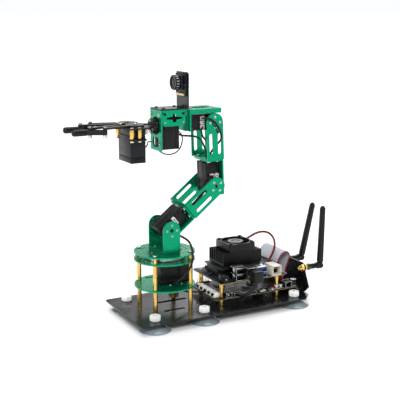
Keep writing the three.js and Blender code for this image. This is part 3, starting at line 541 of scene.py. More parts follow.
FAN_LEAD = route([
    (128, 10, 84.5), (134, 9.6, 87.6), (144, 8, 92.2), (154, 5, 93.8),
    (162, 1, 90.8), (165.6, -4, 83.5), (163.5, -9, 74.5), (157, -13, 65),
    (149.6, -15.4, 58), (146, -15.8, 52.6),
])
USB_CABLE = route([
    (108.5, -44.2, 50.6), (108.4, -50, 50), (107.6, -55, 46.4), (104.6, -57, 41),
    (99.6, -55.6, 35), (94.6, -51.4, 29.6), (91.6, -45.4, 26), (91, -38.1, 25),
])
BASE_LEAD = route([
    (15, 0, 44), (15.4, -0.6, 39), (19, -2.4, 33.5), (29, -4.4, 29.5),
    (42, -5.6, 27), (58.2, -5.9, 25.6),
])
SHOULDER_LEAD = route([
    (12.6, -9.5, 110.4), (18.5, -15.5, 107.6), (22.4, -26, 103.4),
    (21.6, -36, 97.4), (20, -42, 89), (17.5, -43.4, 79),
    (12.6, -41, 67.6), (6, -34, 56.6), (2.4, -24, 49.4),
    (4.6, -16.4, 47), (8, -12.4, 47),
])
WRIST_LEAD = route([
    (18.4, -4, 240), (24, -5, 237.4), (32, -6.4, 236.6), (42, -7, 235),
    (50, -6, 230), (55.6, -4, 222.6), (60, -2, 215), (62.8, -0.6, 208.6),
    (63.7, 0, 201.6),
])
GRIPPER_LEAD = route([
    (-34, -10, 228), (-27, -4.6, 226.4), (-19.6, 6, 227.6),
    (-13, 17.6, 229), (-6.4, 19.6, 227), (-3.4, 13, 220.4),
    (-3, 4, 217.6), (-2.6, -7, 216.4), (1.6, -12.6, 216),
    (9.6, -13.4, 217.4), (16.4, -13.2, 222.6), (20.8, -11.4, 231.4),
    (21.6, -8, 239), (18.6, -5.2, 244),
])
ELBOW_LEAD = route([
    (87.2, -14.6, 13.3), (82, -15.6, 14.4), (75, -15.2, 12),
    (67, -12.5, 7.4), (58, -8, 2.6), (48, -3, 0),
    (38, -0.4, -0.5), (30.6, 0, -0.5),
], UPPER)
WRIST_LOOP = route([
    (46.8, -16.2, 258.8), (46.6, -21.5, 260), (52.5, -26.2, 259), (61, -27.2, 252),
    (67.2, -26.8, 242.5), (69.7, -25.2, 233.5), (68.9, -20.5, 227.5),
    (66.5, -14, 221), (64.5, -6, 211), (63.9, -2, 201.6),
])
WRIST_DROP = route([
    (46.8, -16.2, 247.5), (44.6, -18.6, 244), (46.2, -18.8, 237), (52.5, -16.5, 230),
    (57.5, -12.5, 221), (61, -7.5, 212), (63.2, 2, 201.6),
])
ELBOW_LOOP = [
    *route([(13, -16.2, 2.5), (9, -18.8, 7.5)], FOREARM),
    *route([
        (73, -18.2, 8.5), (63, -17.6, 4.5), (52, -16.5, 2.5),
        (42, -12.5, 0.5), (30.6, -4.5, 0),
    ], UPPER),
]
CLIP = 4  # the shoulder lead's point where its clip holds it on the turning tower


def make_leads():
    """Every lead at its CAD route; those that cross a joint are fixed in place and ride on no body."""
    fan = smooth_route(FAN_LEAD)
    pair = [((-0.0008, -0.0003), 0.0008, 0), ((0.0008, 0.0003), 0.0008, 1)]
    fan_lead = wires("fan_wires", fan, pair, ["red_wire", "black_wire"], "fan_lead")
    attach(fan_lead, "base")

    usb = smooth_route(USB_CABLE)
    usb_cable = wires("usb_lead", usb, [((0, 0), 0.0024, 0)], ["black_wire"], "usb_cable")
    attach(usb_cable, "base")

    triple = three_wires(0.0015)
    base_lead = wires("base_servo_wires", smooth_route(BASE_LEAD), triple, ["black_wire"], "base_lead")
    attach(base_lead, "base")

    above, below = smooth_route(SHOULDER_LEAD[:CLIP + 1]), smooth_route(SHOULDER_LEAD[CLIP:])
    upper = wires("shoulder_wires_upper", above, triple, ["black_wire"])
    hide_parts("shoulder_lead")
    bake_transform(upper)
    lower = wires("shoulder_wires_lower", below, triple, ["black_wire"])
    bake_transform(lower)

    for name, points, near, far, stands_for, radius in (
        ("elbow_wires", ELBOW_LEAD, "forearm", "upper_arm", "elbow_lead", 0.0013),
        ("wrist_wires", WRIST_LEAD, "wrist", "forearm", "wrist_lead", 0.0014),
        ("gripper_wires", GRIPPER_LEAD, "gripper_body", "wrist", "gripper_lead", 0.0009),
        ("wrist_loop_wires", WRIST_LOOP, "wrist", "forearm", None, 0.0014),
        ("wrist_drop_wires", WRIST_DROP, "wrist", "forearm", None, 0.0013),
        ("elbow_loop_wires", ELBOW_LOOP, "forearm", "upper_arm", None, 0.0022),
    ):
        piece = wires(name, smooth_route(points), three_wires(radius), ["black_wire"], stands_for)
        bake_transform(piece)


# ------------------------------------------------------------------ CAD nodes that stay
def dress(node, color, bevel=0.25):
    """Gives a CAD node its finish, rounds its edges a little and smooths its round faces."""
    piece = frame["nodes"][node]
    for name in ("custom_normal", "sharp_edge"):
        if name in piece.data.attributes:
            piece.data.attributes.remove(piece.data.attributes[name])
    piece.data.shade_smooth()
    piece.material_slots[0].material = PAINT[color]
    weld = piece.modifiers.new("weld", "WELD")
    weld.merge_threshold = 0.00001
    flat = piece.modifiers.new("flat", "DECIMATE")
    flat.decimate_type = "DISSOLVE"
    flat.angle_limit = math.radians(1)
    rounding = piece.modifiers.new("rounding", "BEVEL")
    rounding.width = bevel * MM
    rounding.segments = 2
    rounding.limit_method = "ANGLE"
    rounding.angle_limit = math.radians(34)
    rounding.harden_normals = True


def dress_nodes():
    """The CAD nodes that need no other shape."""
    green = ["lower_disc", "middle_disc", "top_ring", "turntable", "shoulder_bracket", "upper_arm_cradle",
             "upper_arm_frame", "forearm_cradle", "forearm_frame", "wrist_bracket", "roll_servo_housing"]
    black = ["camera_bracket", "gripper_flange", "gripper_plate", "left_gear_link", "right_gear_link",
             "left_follower_link", "right_follower_link", "antenna_bracket"]
    plastic = ["fan_frame", "fan_rotor", "antenna_1_base", "antenna_1_blade", "antenna_2_base",
               "antenna_2_blade", "power_switch"]
    for names, color in ((green, "green"), (black, "black_sheet"), (plastic, "plastic")):
        for name in names:
            dress(name, color)
    for name in ("left_finger", "right_finger"):
        dress(name, "rubber", 0.4)
    for number in range(1, 5):
        dress(f"pillar_{number}", "brass", 0.2)
    dress("base_plate", "plate", 0.3)
    dress("slew_bearing", "steel", 0.3)
    dress("heatsink", "fins", 0.12)
    dress("reset_button", "red", 0.2)


# ------------------------------------------------------------------ feet
def make_feet():
    """Suction cups with a ribbed skirt, each with its stud and six-lobed thumb nut."""
    cup_profile = [
        (0, 3.3), (7.5, 3.1), (14, 2), (18.6, 0.2), (20.2, 0), (20.45, 0.25), (20.2, 0.9), (18.4, 1.6),
        (17.9, 2.2), (15.2, 3.5), (14.7, 4.1), (12, 5.5), (9.4, 6.6), (8.3, 7.4), (7.6, 10), (0, 10),
    ]
    nut_profile = [
        (0, 12.8), (6.7, 12.8), (7.5, 13.6), (7.55, 18.4), (7.1, 19.3), (6.3, 19.7), (4, 19.75), (3.7, 19.1),
        (0, 19.1),
    ]
    for number in range(1, 7):
        low, high = extent(f"suction_foot_{number}")
        local = BASE @ Matrix.Translation(Vector(((low.x + high.x) / 2, (low.y + high.y) / 2, 0)) * MM)
        cup = Shape(f"suction_cup_{number}", local)
        cup.lathe(cup_profile, "z", (0, 0, 0), "vinyl", 64)
        cup.done("base", f"suction_foot_{number}")
        nut = Shape(f"thumb_nut_{number}", local)
        nut.lathe(nut_profile, "z", (0, 0, 0), "white", 72, lambda angle: 0.93 + 0.07 * math.cos(6 * angle))
        nut.rod("z", 2.7, (9.6, 13), (0, 0), "steel")
        nut.rod("z", 2, (18.8, 19.7), (0, 0), "steel", 20, 0.3)
        nut.rod("z", 6.4, (12.5, 12.85), (0, 0), "steel")
        nut.done("base")


# ------------------------------------------------------------------ servos
SERVO_X, SERVO_Y, SERVO_Z = (-10, 30), (-12.5, 12.5), (-10, 10)
SERVO_SEAMS = (-8.2, 7.6)
CRADLE_WEB = -12.25
CRADLE_END = 34.2
EAR_FACE = 22.45  # outside of a bracket's ears


def servo_case(shape, output, split, x, y, z):
    """A case in three moulded parts that are split across its output axis, with dark seams where a
    near-black core in painted shade shows between them.
    """
    spans = {"x": x, "y": y, "z": z}
    seam = 0.25
    core = {key: (value[0] + 0.5, value[1] - 0.5) for key, value in spans.items()}
    # Near-black core: it shows in the seams as painted shade.
    shape.block(core["x"], core["y"], core["z"], "recess", 0)
    edges = [spans[output][0], *split, spans[output][1]]
    for i, (start, stop) in enumerate(zip(edges, edges[1:])):
        part = dict(spans)
        part[output] = (start + (seam / 2 if i else 0), stop - (seam / 2 if i < 2 else 0))
        shape.block(part["x"], part["y"], part["z"], "servo", 0.7)


def joint_servo(name, local, node, body, sockets):
    """A servo lying in its cradle. sockets are the (x, z) corners of its white connectors."""
    servo = Shape(name, local)
    servo_case(servo, "y", SERVO_SEAMS, SERVO_X, SERVO_Y, SERVO_Z)
    for side in (-1, 1):
        for x, z in ((-8.3, 8.3), (27.6, -7.6), (27.6, 7.6)):
            servo.screw("y", side, side * 12.4, (x, z), 1.25, "horn")
        for x in (17.5, 23.5):
            servo.block((x, x + 1.2), sorted((side * 12.3, side * 12.75)), (0, 8), "servo", 0.2)
    for x, z in sockets:
        servo.block((x, x + 4.8), (-16, -12.3), (z, z + 5), "white", 0.3)
        # Mouth of the white connector, painted near-black as shade.
        servo.block((x + 1.5, x + 3.4), (-16.1, -15.9), (z + 1.2, z + 3.6), "recess", 0)
        for pin in (1.3, 2.4, 3.5):
            servo.rod("y", 0.3, (-16.4, -15.8), (x + pin, z + 2.5), "gold", 8, 0)
    servo.done(body, node)


def horn_discs(shape, at=(0, 0)):
    """Metal horns under a bracket's ears, with their four screws and a near-black rod in painted shade at
    the centre screw.
    """
    x, z = at
    for side in (-1, 1):
        shape.rod("y", 9.65, sorted((side * 12.9, side * 20.45)), (x, z), "horn", 48, 0.4)
        # Near-black rod at the centre screw: painted shade.
        shape.rod("y", 2.45, sorted((side * 19, side * 21.6)), (x, z), "recess", 20)
        for i, j in CROSS:
            shape.screw("y", side, side * EAR_FACE, (x + 7 * i, z + 7 * j), 1.55)


def link_screws(shape):
    """Screws of a cradle: through its web into the servo, and through its end plate."""
    for y in (-8, 8):
        for x in (-6, 27):
            shape.screw("z", -1, CRADLE_WEB, (x, y), 1.6)
    for y in (-17, 17):
        for x in (2, 24):
            shape.screw("z", -1, CRADLE_WEB, (x, y), 1.3)
    for y in (-14.5, 14.5):
        for z in (-7, 6.4):
            shape.screw("x", 1, CRADLE_END + 2.2, (y, z), 1.6)
            shape.rod("x", 2.3, (CRADLE_END - 3.4, CRADLE_END - 2), (y, z), "steel", 6, 0.15)


def make_joints():
    """The three pitch servos, and the horns and screws of the links between them."""
    joint_servo("shoulder_servo_case", UPPER, "shoulder_servo", "upper_arm", ((10.6, -2.4), (10.6, 3.2)))
    joint_servo("elbow_servo_case", FOREARM, "elbow_servo", "forearm", ((10.6, -7), (10.6, 0)))
    joint_servo("wrist_servo_case", HAND, "wrist_servo", "wrist", ((11.4, -8.2), (11.4, -2.6), (11.4, 3)))
    links = (("shoulder_fittings", UPPER, "upper_arm"), ("forearm_fittings", FOREARM, "forearm"))
    for name, local, body in links:
        fittings = Shape(name, local)
        link_screws(fittings)
        horn_discs(fittings, (LINK, 0))
        fittings.done(body)
    low, high = extent("wrist_bracket")
    wrist = Shape("wrist_fittings")
    for y in (-8, 8):
        for x in (low.x + 7, high.x - 5):
            wrist.screw("z", 1, high.z - 0.05, (x, y), 1.6)
        for x in (high.x - 5, low.x + 7):
            wrist.rod("z", 2.4, (high.z - 7.6, high.z - 2), (x, y), "brass", 6, 0.2)
    for y in (-14.5, 14.5):
        for z in (247, 260):
            wrist.rod("x", 2.3, (low.x + 2, low.x + 3.6), (y, z), "steel", 6, 0.15)
    wrist.done("wrist")
    top = extent("shoulder_bracket")[1]
    bracket = Shape("shoulder_bracket_fittings")
    horn_discs(bracket, (0, top.z - 12))
    for i, j in FOUR_WAYS:
        bracket.screw("z", 1, 91.25, (6.5 * i, 14.5 * j), 1.8)
        bracket.screw("z", 1, 88.95, (20 * i, 6 * j), 2.1)
    bracket.done("tower_head")


# ------------------------------------------------------------------ tower
TOP_RING_FACE, MIDDLE_DISC_FACE, LOWER_DISC_FACE = 89.15, 79.45, 44.65
PILLAR_OUT = 25


def make_tower():
    """Base servo under the turning disc, and the screws of the discs."""
    low, high = extent("base_servo")
    servo = Shape("base_servo_case")
    servo_case(servo, "z", (51, 71), (low.x, high.x), (low.y, high.y), (low.z, 77.2))
    servo.rod("z", 8.6, (76.8, high.z), (0, 0), "horn", 40, 0.4)
    for x, y in ((-7.5, -7.5), (27.5, -7.5), (27.5, 7.5)):
        servo.screw("z", 1, 77.1, (x, y), 1.0)
    for z in (47.4, 49.6, 51.8):
        servo.block((-6, 12), (low.y - 0.35, low.y + 0.2), (z, z + 0.9), "servo", 0.15)
    servo.done("base", "base_servo")
    screws = Shape("tower_screws")
    for i, j in FOUR_WAYS:
        screws.screw("z", 1, TOP_RING_FACE, (PILLAR_OUT * i, PILLAR_OUT * j), 2.9)
        screws.screw("z", 1, MIDDLE_DISC_FACE, (30.5 * i, 10 * j), 1.5)
        screws.screw("z", 1, LOWER_DISC_FACE, (8 * i + 10, 14 * j), 1.6)
        for z in (27, 30):
            screws.rod("z", 2.75, (z, z + 0.5), (PILLAR_OUT * i, PILLAR_OUT * j), "brass", 24, 0.1)
    screws.done("base")


# ------------------------------------------------------------------ wrist roll unit and camera
LENS_RADIUS = 9.6
HOUSING_SIDE, HOUSING_TOP = 15.45, 273.25


def make_roll_unit():
    """Roll servo in its housing."""
    low, high = extent("roll_servo")
    servo = Shape("roll_servo_case")
    servo_case(servo, "x", (low.x + 4.6, high.x - 4.8), (low.x, high.x), (low.y, high.y), (low.z, high.z))
    for z in (low.z + 2.4, high.z - 2.4):
        for y in (-7.6, 7.6):
            servo.screw("x", -1, low.x + 0.1, (y, z), 1.2)
    for x in (low.x + 9, low.x + 13):
        servo.block((x, x + 1.4), (low.y - 0.35, low.y + 0.2), (low.z + 12, low.z + 25), "servo", 0.15)
    servo.done("wrist", "roll_servo")

    low, high = extent("roll_servo_housing")
    fittings = Shape("housing_fittings")
    for side in (-1, 1):
        face = side * HOUSING_SIDE
        for x in (low.x + 5.4, high.x - 6.6):
            fittings.screw("y", side, face, (x, high.z - 4.6), 1.7, "plastic")
        for x in (low.x + 6, high.x - 7):
            fittings.screw("y", side, face, (x, high.z - 15.4), 1.2)
    for y, z in ((-11.5, 266), (11.5, 266), (-11.5, 230), (11.5, 230)):
        fittings.screw("x", -1, low.x + 0.05, (y, z), 1.5)
    for x in (low.x + 6, high.x - 7):
        for y in (-10, 10):
            fittings.screw("z", 1, HOUSING_TOP, (x, y), 2.1, "plastic")
    fittings.done("wrist")


def make_head_camera():
    """Camera board with its socket and screws, and the knurled focus ring round its lens, with white stripes
    painted on as the knurls' highlights.
    """
    low, high = extent("camera_module")
    middle = extent("camera_lens")[0].z + LENS_RADIUS
    face = high.x
    camera = Shape("camera_board")
    camera.block((face - 1.6, face), (low.y, high.y), (low.z, high.z), "board", 0.2)
    camera.block((face - 5.5, face - 1.5), (-9, 9), (middle - 9, middle + 9), "plastic", 0.8)
    ring = [(5.7, face - 5), (8.2, face - 5), (8.2, face - 6.1), (7.8, face - 6.5), (5.7, face - 6.5)]
    camera.lathe(ring, "x", (0, 0, middle), "plastic", 48)
    camera.block((face - 3.4, face - 1.5), (-11, 11), (middle - 16.6, middle - 13.2), "gold", 0.4)
    camera.block((face - 3.6, face - 3.2), (-9, 9), (middle - 15.6, middle - 14.2), "cream", 0.1)
    for i in (-1, 1):
        for z in (middle + 9, middle - 11):
            camera.screw("x", -1, face - 1.6, (12 * i, z), 1.2, "horn")
    for step, y in enumerate((-12, -11, 10.6, 11.8)):
        spot = (middle - 4 + step, middle - 3 + step)
        camera.block((face - 2.3, face - 1.5), (y - 0.35, y + 0.35), spot, "tin", 0.05)
    camera.done("wrist", "camera_module")

    low, high = extent("camera_lens")
    lens = Shape("focus_ring")
    barrel = [
        (6.2, low.x + 1.4), (7, low.x + 0.3), (8.9, low.x), (9.3, low.x + 0.4), (9.5, low.x + 1),
        (9.5, low.x + 5.6), (9.1, low.x + 6.2), (4.95, low.x + 6.2), (4.95, high.x), (0, high.x),
        (0, low.x + 1.5),
    ]
    lens.lathe(barrel, "x", (0, 0, middle), "rubber", 128, lambda a: 1 - 0.022 * (math.cos(32 * a) > 0.1))
    glass = [(0, low.x + 0.9), (3.2, low.x + 1.05), (6.3, low.x + 1.6), (6.3, low.x + 2.2), (0, low.x + 2.2)]
    lens.lathe(glass, "x", (0, 0, middle), "glass", 40)
    # Seven white stripes along the barrel on its side towards the camera: painted highlights of the knurls.
    for step in range(7):
        turn = math.radians(100 + 22 * step)
        spot = (9.1 * math.cos(turn), middle + 9.1 * math.sin(turn))
        lens.rod("x", 0.5, (low.x + 1.6, low.x + 5), spot, "white", 8, 0.1)
    lens.done("lens", "camera_lens")


# ------------------------------------------------------------------ gripper
GRIP_PLATE_TOP = 253.9
LINK_TOP = 256.75
ROLL_AXIS_Z = 251.5
SLEEVE_Z = 250.95
FINGER_PIVOTS = ((-88.44, 24.01), (-104.44, 16.01))


def make_gripper():
    """Gripper servo under its plate, with the posts and screws between them."""
    low, high = extent("gripper_servo")
    body_y = (low.y + 6, high.y - 6)
    servo = Shape("gripper_servo_case")
    servo_case(servo, "z", (low.z + 7, high.z - 8), (low.x, high.x), body_y, (low.z, high.z))
    lug = high.z - 11.2
    servo.block((low.x + 1, high.x - 1), (low.y, high.y), (lug - 2.5, lug), "servo", 0.5)
    for i in (-1, 1):
        for y in (body_y[0] + 2.6, body_y[1] - 2.6):
            servo.screw("z", -1, low.z + 0.05, ((low.x + high.x) / 2 + 7 * i, y), 1.1)
    socket = (low.z + 2, low.z + 5.5)
    servo.block((low.x + 6, high.x - 6), (body_y[0] - 1.4, body_y[0] + 0.2), socket, "plastic", 0.4)
    servo.done("gripper_body", "gripper_servo")

    posts = Shape("gripper_posts")
    for x in (-54, -44):
        for y in (-25, 19.5):
            posts.rod("z", 2.55, (GRIP_PLATE_TOP - 13.2, GRIP_PLATE_TOP - 2), (x, y), "brass", 6, 0.15)
            posts.rod("z", 2.4, (lug - 4.2, lug - 2.4), (x, y), "white", 24, 0.5)
            posts.rod("z", 2.3, (GRIP_PLATE_TOP - 0.3, GRIP_PLATE_TOP + 0.2), (x, y), "white", 24, 0.08)
    for side in (-1, 1):
        posts.screw("z", 1, LINK_TOP, (-44.5, side * 13), 2.6)
        posts.screw("z", 1, LINK_TOP, (-60.5, side * 5), 2.4)
    posts.rod("z", 2.4, (GRIP_PLATE_TOP - 11, GRIP_PLATE_TOP - 4.4), (-27.6, -8), "white", 24, 0.4)
    for i, j in CROSS:
        posts.screw("x", -1, -17.55, (6.4 * i, ROLL_AXIS_Z + 6.4 * j), 1.5)
    posts.done("gripper_body")


def make_finger_sleeves():
    """Ribbed rubber sleeves on the finger tips, and the screws of the finger pivots."""
    for name, side in (("left", -1), ("right", 1)):
        low = extent(f"{name}_finger")[0]
        sleeve = Shape(f"{name}_sleeve")
        ribs = [(0, low.x + 0.02), (2.2, low.x + 0.35), (3.5, low.x + 1.6)]
        for step in range(9):
            x = low.x + 3 + step * 1.75
            ribs += [(3.92, x), (3.95, x + 1.2), (3.72, x + 1.45)]
        ribs += [(3.9, low.x + 19), (3.3, low.x + 19.8), (0, low.x + 19.8)]
        sleeve.lathe(ribs, "x", (0, side * 15, SLEEVE_Z), "rubber", 36)
        for x, out in FINGER_PIVOTS:
            at = (x, side * out)
            sleeve.rod("z", 2.6, (LINK_TOP, LINK_TOP + 0.5), at, "steel", 24, 0.1)
            sleeve.screw("z", 1, LINK_TOP + 0.45, at, 2.2)
            sleeve.rod("z", 2.5, (244.2, 248.3), at, "steel", 6, 0.25)
        sleeve.done(f"{name}_jaw")


# ------------------------------------------------------------------ circuit boards
MOUTH_DEPTH = 9
PIN_PITCH = 2.54
HOLE_PITCH = 2.66


def hollow(shape, x, y, z, wall, color):
    """A socket shell open towards -Y: four walls and a back in painted shade, MOUTH_DEPTH inside the mouth.
    """
    shape.block((x[0], x[0] + wall), y, z, color, 0.12)
    shape.block((x[1] - wall, x[1]), y, z, color, 0.12)
    inside = (x[0] + wall, x[1] - wall)
    shape.block(inside, y, (z[0], z[0] + wall), color, 0.12)
    shape.block(inside, y, (z[1] - wall, z[1]), color, 0.12)
    # Back of the mouth in painted shade.
    shape.block(inside, (y[0] + MOUTH_DEPTH, y[1]), (z[0] + wall, z[1] - wall), "recess", 0)


def chip(shape, x, y, z, size, high=1.0, pins=6):
    """A flat chip package with rows of tinned legs on two sides."""
    shape.pad(x, y, size / 2, (z, z + high), "chip", 0.15)
    for side in (-1, 1):
        for step in range(pins):
            along = x - size * 0.4 + size * 0.8 * step / (pins - 1)
            edge = sorted((y + side * size * 0.5, y + side * (size * 0.5 + 0.9)))
            shape.block((along - 0.25, along + 0.25), edge, (z, z + 0.4), "tin", 0)


def passives(shape, places, z):
    """Small two-ended parts; each place is (x, y, how many, step in x)."""
    for x, y, count, step in places:
        for i in range(count):
            at = x + i * step
            color = "copper" if i % 3 == 0 else "chip"
            shape.block((at - 0.5, at + 0.5), (y - 0.9, y + 0.9), (z, z + 0.6), color, 0.08)
            for side in (-1, 1):
                end = sorted((y + side * 0.6, y + side * 1.0))
                shape.block((at - 0.52, at + 0.52), end, (z, z + 0.64), "tin", 0)


def pin_header(shape, x, y, z, count, high):
    """A row of gold pins in a black strip along X."""
    for i in range(count):
        at = x + i * PIN_PITCH
        shape.pad(at, y, 1.2, (z, z + 2.4), "plastic", 0.2)
        shape.pad(at, y, 0.32, (z + 2.4, z + high), "gold", 0.1)


def socket_holes(shape, columns, first, count, half, z):
    """Holes of a socket of two columns that run along Y, painted near-black as shade."""
    for i in range(count):
        for x in columns:
            shape.pad(x, first + i * HOLE_PITCH, half, z, "recess", 0)


def post_centres():
    low, high = extent("carrier_board")
    middle = Vector(((low.x + high.x) / 2, (low.y + 1.6 + high.y) / 2))
    return [(middle.x + 43 * i, middle.y + 29 * j) for i, j in FOUR_WAYS]


def hex_posts(shape, span):
    for x, y in post_centres():
        shape.rod("z", 2.95, span, (x, y), "brass", 6, 0.25)
        for z in (span[0] + 1.2, span[1] - 1.6):
            shape.rod("z", 2.7, (z, z + 0.4), (x, y), "brass", 24, 0.1)


def laminate(name, x, y, z, skin, posts_from):
    """A circuit board with its pale bare edge, on the four brass posts below it."""
    board = Shape(name)
    proud = 0.05
    edge = rounded((x[0] - proud, x[1] + proud), (y[0] - proud, y[1] + proud), 3)
    board.prism(rounded(x, y, 3), z, "z", "board", 0.15)
    board.prism(edge, (z[0] + skin, z[1] - skin - 0.1), "z", "laminate", 0)
    hex_posts(board, (posts_from, z[0]))
    return board


def make_driver_board():
    """Lower board: servo sockets, ribbon socket, power parts and the switch's frame."""
    bottom, top = 20.5, 22.1
    board = laminate("driver_board_laminate", (57, 187), (-36, 41), (bottom, top), 0.5, 12.8)
    board.done("base", "driver_board")

    parts = Shape("driver_board_parts")
    for i in range(5):
        y = -27 + i * 10.4
        parts.block((60, 67.5), (y, y + 8.6), (top, top + 6.2), "white", 0.35)
        parts.block((58.5, 60), (y, y + 8.6), (top, top + 4.2), "white", 0.3)
        # Mouth of each white header, painted near-black as shade.
        parts.block((58.4, 64), (y + 1, y + 7.6), (top + 1.4, top + 4.8), "recess", 0)
        for pin in (2.2, 4.3, 6.4):
            parts.rod("x", 0.35, (58.6, 64), (y + pin, top + 3), "gold", 8, 0)
    parts.block((171, 180), (-22, 34), (top, top + 7.6), "plastic", 0.3)
    socket_holes(parts, (173.6, 177.4), -19.3, 20, 0.8, (top + 7.5, top + 9))
    parts.rod("z", 4.15, (top, top + 10.4), (180.5, -31), "chip", 36, 0.5)
    parts.rod("z", 3.7, (top + 10.2, top + 10.9), (180.5, -31), "tin", 36, 0.2)
    # Dark ring round the capacitor's foot: painted shade where it stands on the board.
    parts.rod("z", 4.4, (top, top + 1.2), (180.5, -31), "recess", 36, 0.2)
    for x in (153, 160):
        parts.rod("z", 3.1, (top, top + 5.4), (x, -31), "tin", 32, 0.3)
        parts.pad(x, -31, 3.4, (top, top + 1), "chip", 0.2)
    hollow(parts, (84, 98), (-37.5, -28), (top, top + 5), 0.5, "plastic")
    hollow(parts, (110, 119), (-36.6, -29), (top, top + 3.4), 0.4, "horn")
    hollow(parts, (164, 175), (-37.4, -26), (top, top + 9), 1.4, "plastic")
    hollow(parts, (72, 81.5), (-37, -26), (top, top + 7.4), 1.2, "plastic")
    parts.rod("y", 1.1, (-34, -27), (76.7, top + 3.6), "steel", 16, 0.2)
    hollow(parts, (140.5, 142.3), (-35, -30), (top, top + 1.2), 0.2, "tin")
    chip(parts, 90, 15, top, 12, 1.6, 9)
    chip(parts, 118, 20, top, 8, 1.2, 6)
    chip(parts, 118, -8, top, 7, 1.2, 5)
    chip(parts, 84, -14, top, 6, 1.1, 5)
    chip(parts, 140, -20, top, 5, 1.0, 4)
    for x, y in ((134, 6), (146, 20)):
        parts.pad(x, y, 4, (top, top + 3.8), "chip", 0.9)
        parts.rod("z", 2.6, (top + 3.4, top + 4.1), (x, y), "copper", 28, 0.2)
    passives(parts, [
        (70, -20, 7, 2.2), (70, 4, 5, 2.4), (100, -24, 9, 2.1), (70, 30, 8, 2.6), (126, -12, 5, 2.2),
        (150, -12, 6, 2.4), (98, 2, 6, 2.2), (134, 30, 7, 2.3), (166, -16, 2, 2.2),
    ], top)
    pin_header(parts, 68, 37.5, top, 8, 8)
    pin_header(parts, 140, 37.5, top, 6, 8)
    for i, color in enumerate(("red", "white", "blue")):
        parts.block((105.5 + 2 * i, 106.6 + 2 * i), (-27, -25.6), (top, top + 0.8), color, 0.1)
    parts.block((125.5, 134.5), (-35, -30), (top, top + 1.3), "tin", 0.15)
    for x, y in (
        ((125.5, 126.5), (-35, -30)), ((133.5, 134.5), (-35, -30)),
        ((126, 134), (-35, -34)), ((126, 134), (-31, -30)),
    ):
        parts.block(x, y, (top + 1.2, top + 2.6), "tin", 0.1)
    collar = [(2.35, top), (3.05, top), (3.05, top + 2), (2.75, top + 2.4), (2.35, top + 2.4)]
    parts.lathe(collar, "z", (146, -32.4, 0), "tin", 28)
    parts.done("base")


def make_carrier_board():
    """Upper board: its row of sockets along the front, and the computer module."""
    bottom, top = 43.4, 45.0
    front = extent("carrier_board")[0].y
    board = laminate("carrier_board_laminate", (61, 161), (-42, 38), (bottom, top), 0.3, 22.4)
    for x, y in post_centres():
        board.rod("z", 2.95, (top, top + 2.3), (x, y), "steel", 6, 0.3)
        board.rod("z", 1.4, (top + 2, top + 3.2), (x, y), "steel", 16, 0.3)
    board.done("base", "carrier_board")

    parts = Shape("carrier_board_parts")
    parts.block((64, 72), (front, front + 14), (top, top + 10), "plastic", 0.4)
    # Round mouth of the jack, painted near-black as shade.
    parts.rod("y", 3.1, (front - 0.05, front + 1), (68, top + 5.5), "recess", 28, 0)
    parts.rod("y", 1, (front - 0.15, front + 2), (68, top + 5.5), "gold", 16, 0.2)
    for z in (top + 1, top + 9.6):
        hollow(parts, (83, 99.5), (front, front + 18), (z, z + 8), 0.7, "tin")
        parts.block((85.4, 97.2), (front + 1.6, front + 9), (z + 4.2, z + 5.2), "plastic", 0.1)
    parts.block((83, 99.5), (front + 9, front + 17.8), (top, top + 18.4), "tin", 0.3)
    for x0, insert in ((101, "plastic"), (116, "blue")):
        for z in (top + 0.6, top + 8):
            hollow(parts, (x0 + 0.2, x0 + 14.3), (front, front + 17.6), (z, z + 7.2), 0.6, "tin")
            parts.block((x0 + 1.4, x0 + 13), (front + 0.6, front + 9), (z + 3.4, z + 5.4), insert, 0.15)
        parts.block((x0, x0 + 14.5), (front + 9, front + 18), (top, top + 15.4), "tin", 0.3)
    hollow(parts, (139, 153), (front, front + 21), (top, top + 13.4), 1.3, "cream")
    for i in range(8):
        x = 142 + i * 1.05
        parts.block((x, x + 0.4), (front + 2, front + 9), (top + 9.6, top + 10.1), "gold", 0)
    parts.block((73.5, 141.5), (-10, 20), (top, top + 11), "chip", 0.3)
    parts.block((72.5, 142.5), (-21, 25), (top + 11.2, top + 12.6), "module", 0.15)
    parts.block((80, 136), (-17, 21), (top + 12.4, top + 14.2), "horn", 0.3)
    parts.block((152, 160), (-18, 33), (top, top + 8.4), "plastic", 0.3)
    socket_holes(parts, (154.4, 157.6), -16.4, 19, 0.75, (top + 8.3, top + 8.45))
    hollow(parts, (143, 148), (-21, -10.5), (top, top + 6.4), 0.6, "white")
    parts.block((143.6, 147.4), (-20.4, -11.2), (top + 0.2, top + 5.2), "white", 0.2)
    chip(parts, 70, -14, top, 5, 1, 5)
    chip(parts, 68, 12, top, 6, 1.2, 6)
    chip(parts, 97, -28, top, 4, 1, 4)
    for x, y in ((68, 0), (150, 4)):
        parts.pad(x, y, 2.8, (top, top + 3), "chip", 0.6)
    passives(parts, [
        (92.5, -38, 4, 1.9), (92, -26, 4, 1.9), (64, -22, 4, 2), (64, 24, 5, 2.2), (92, 32, 20, 2.3),
        (64, 20, 4, 2.1), (148, 16, 2, 2),
    ], top)
    pin_header(parts, 80, 35, top, 20, 8.4)
    parts.done("base")

    plug = Shape("usb_plug")
    plug.block((101.4, 115.8), (-60.2, -44.2), (43.6, 60), "rubber", 2.4)
    plug.block((102, 115), (-44.6, front + 6), (46, 51.6), "tin", 0.15)
    for i in range(4):
        plug.block((103.6, 113.6), (-56.6 + 2.2 * i, -55.6 + 2.2 * i), (59.6, 60.3), "rubber", 0.15)
    plug.done("base")


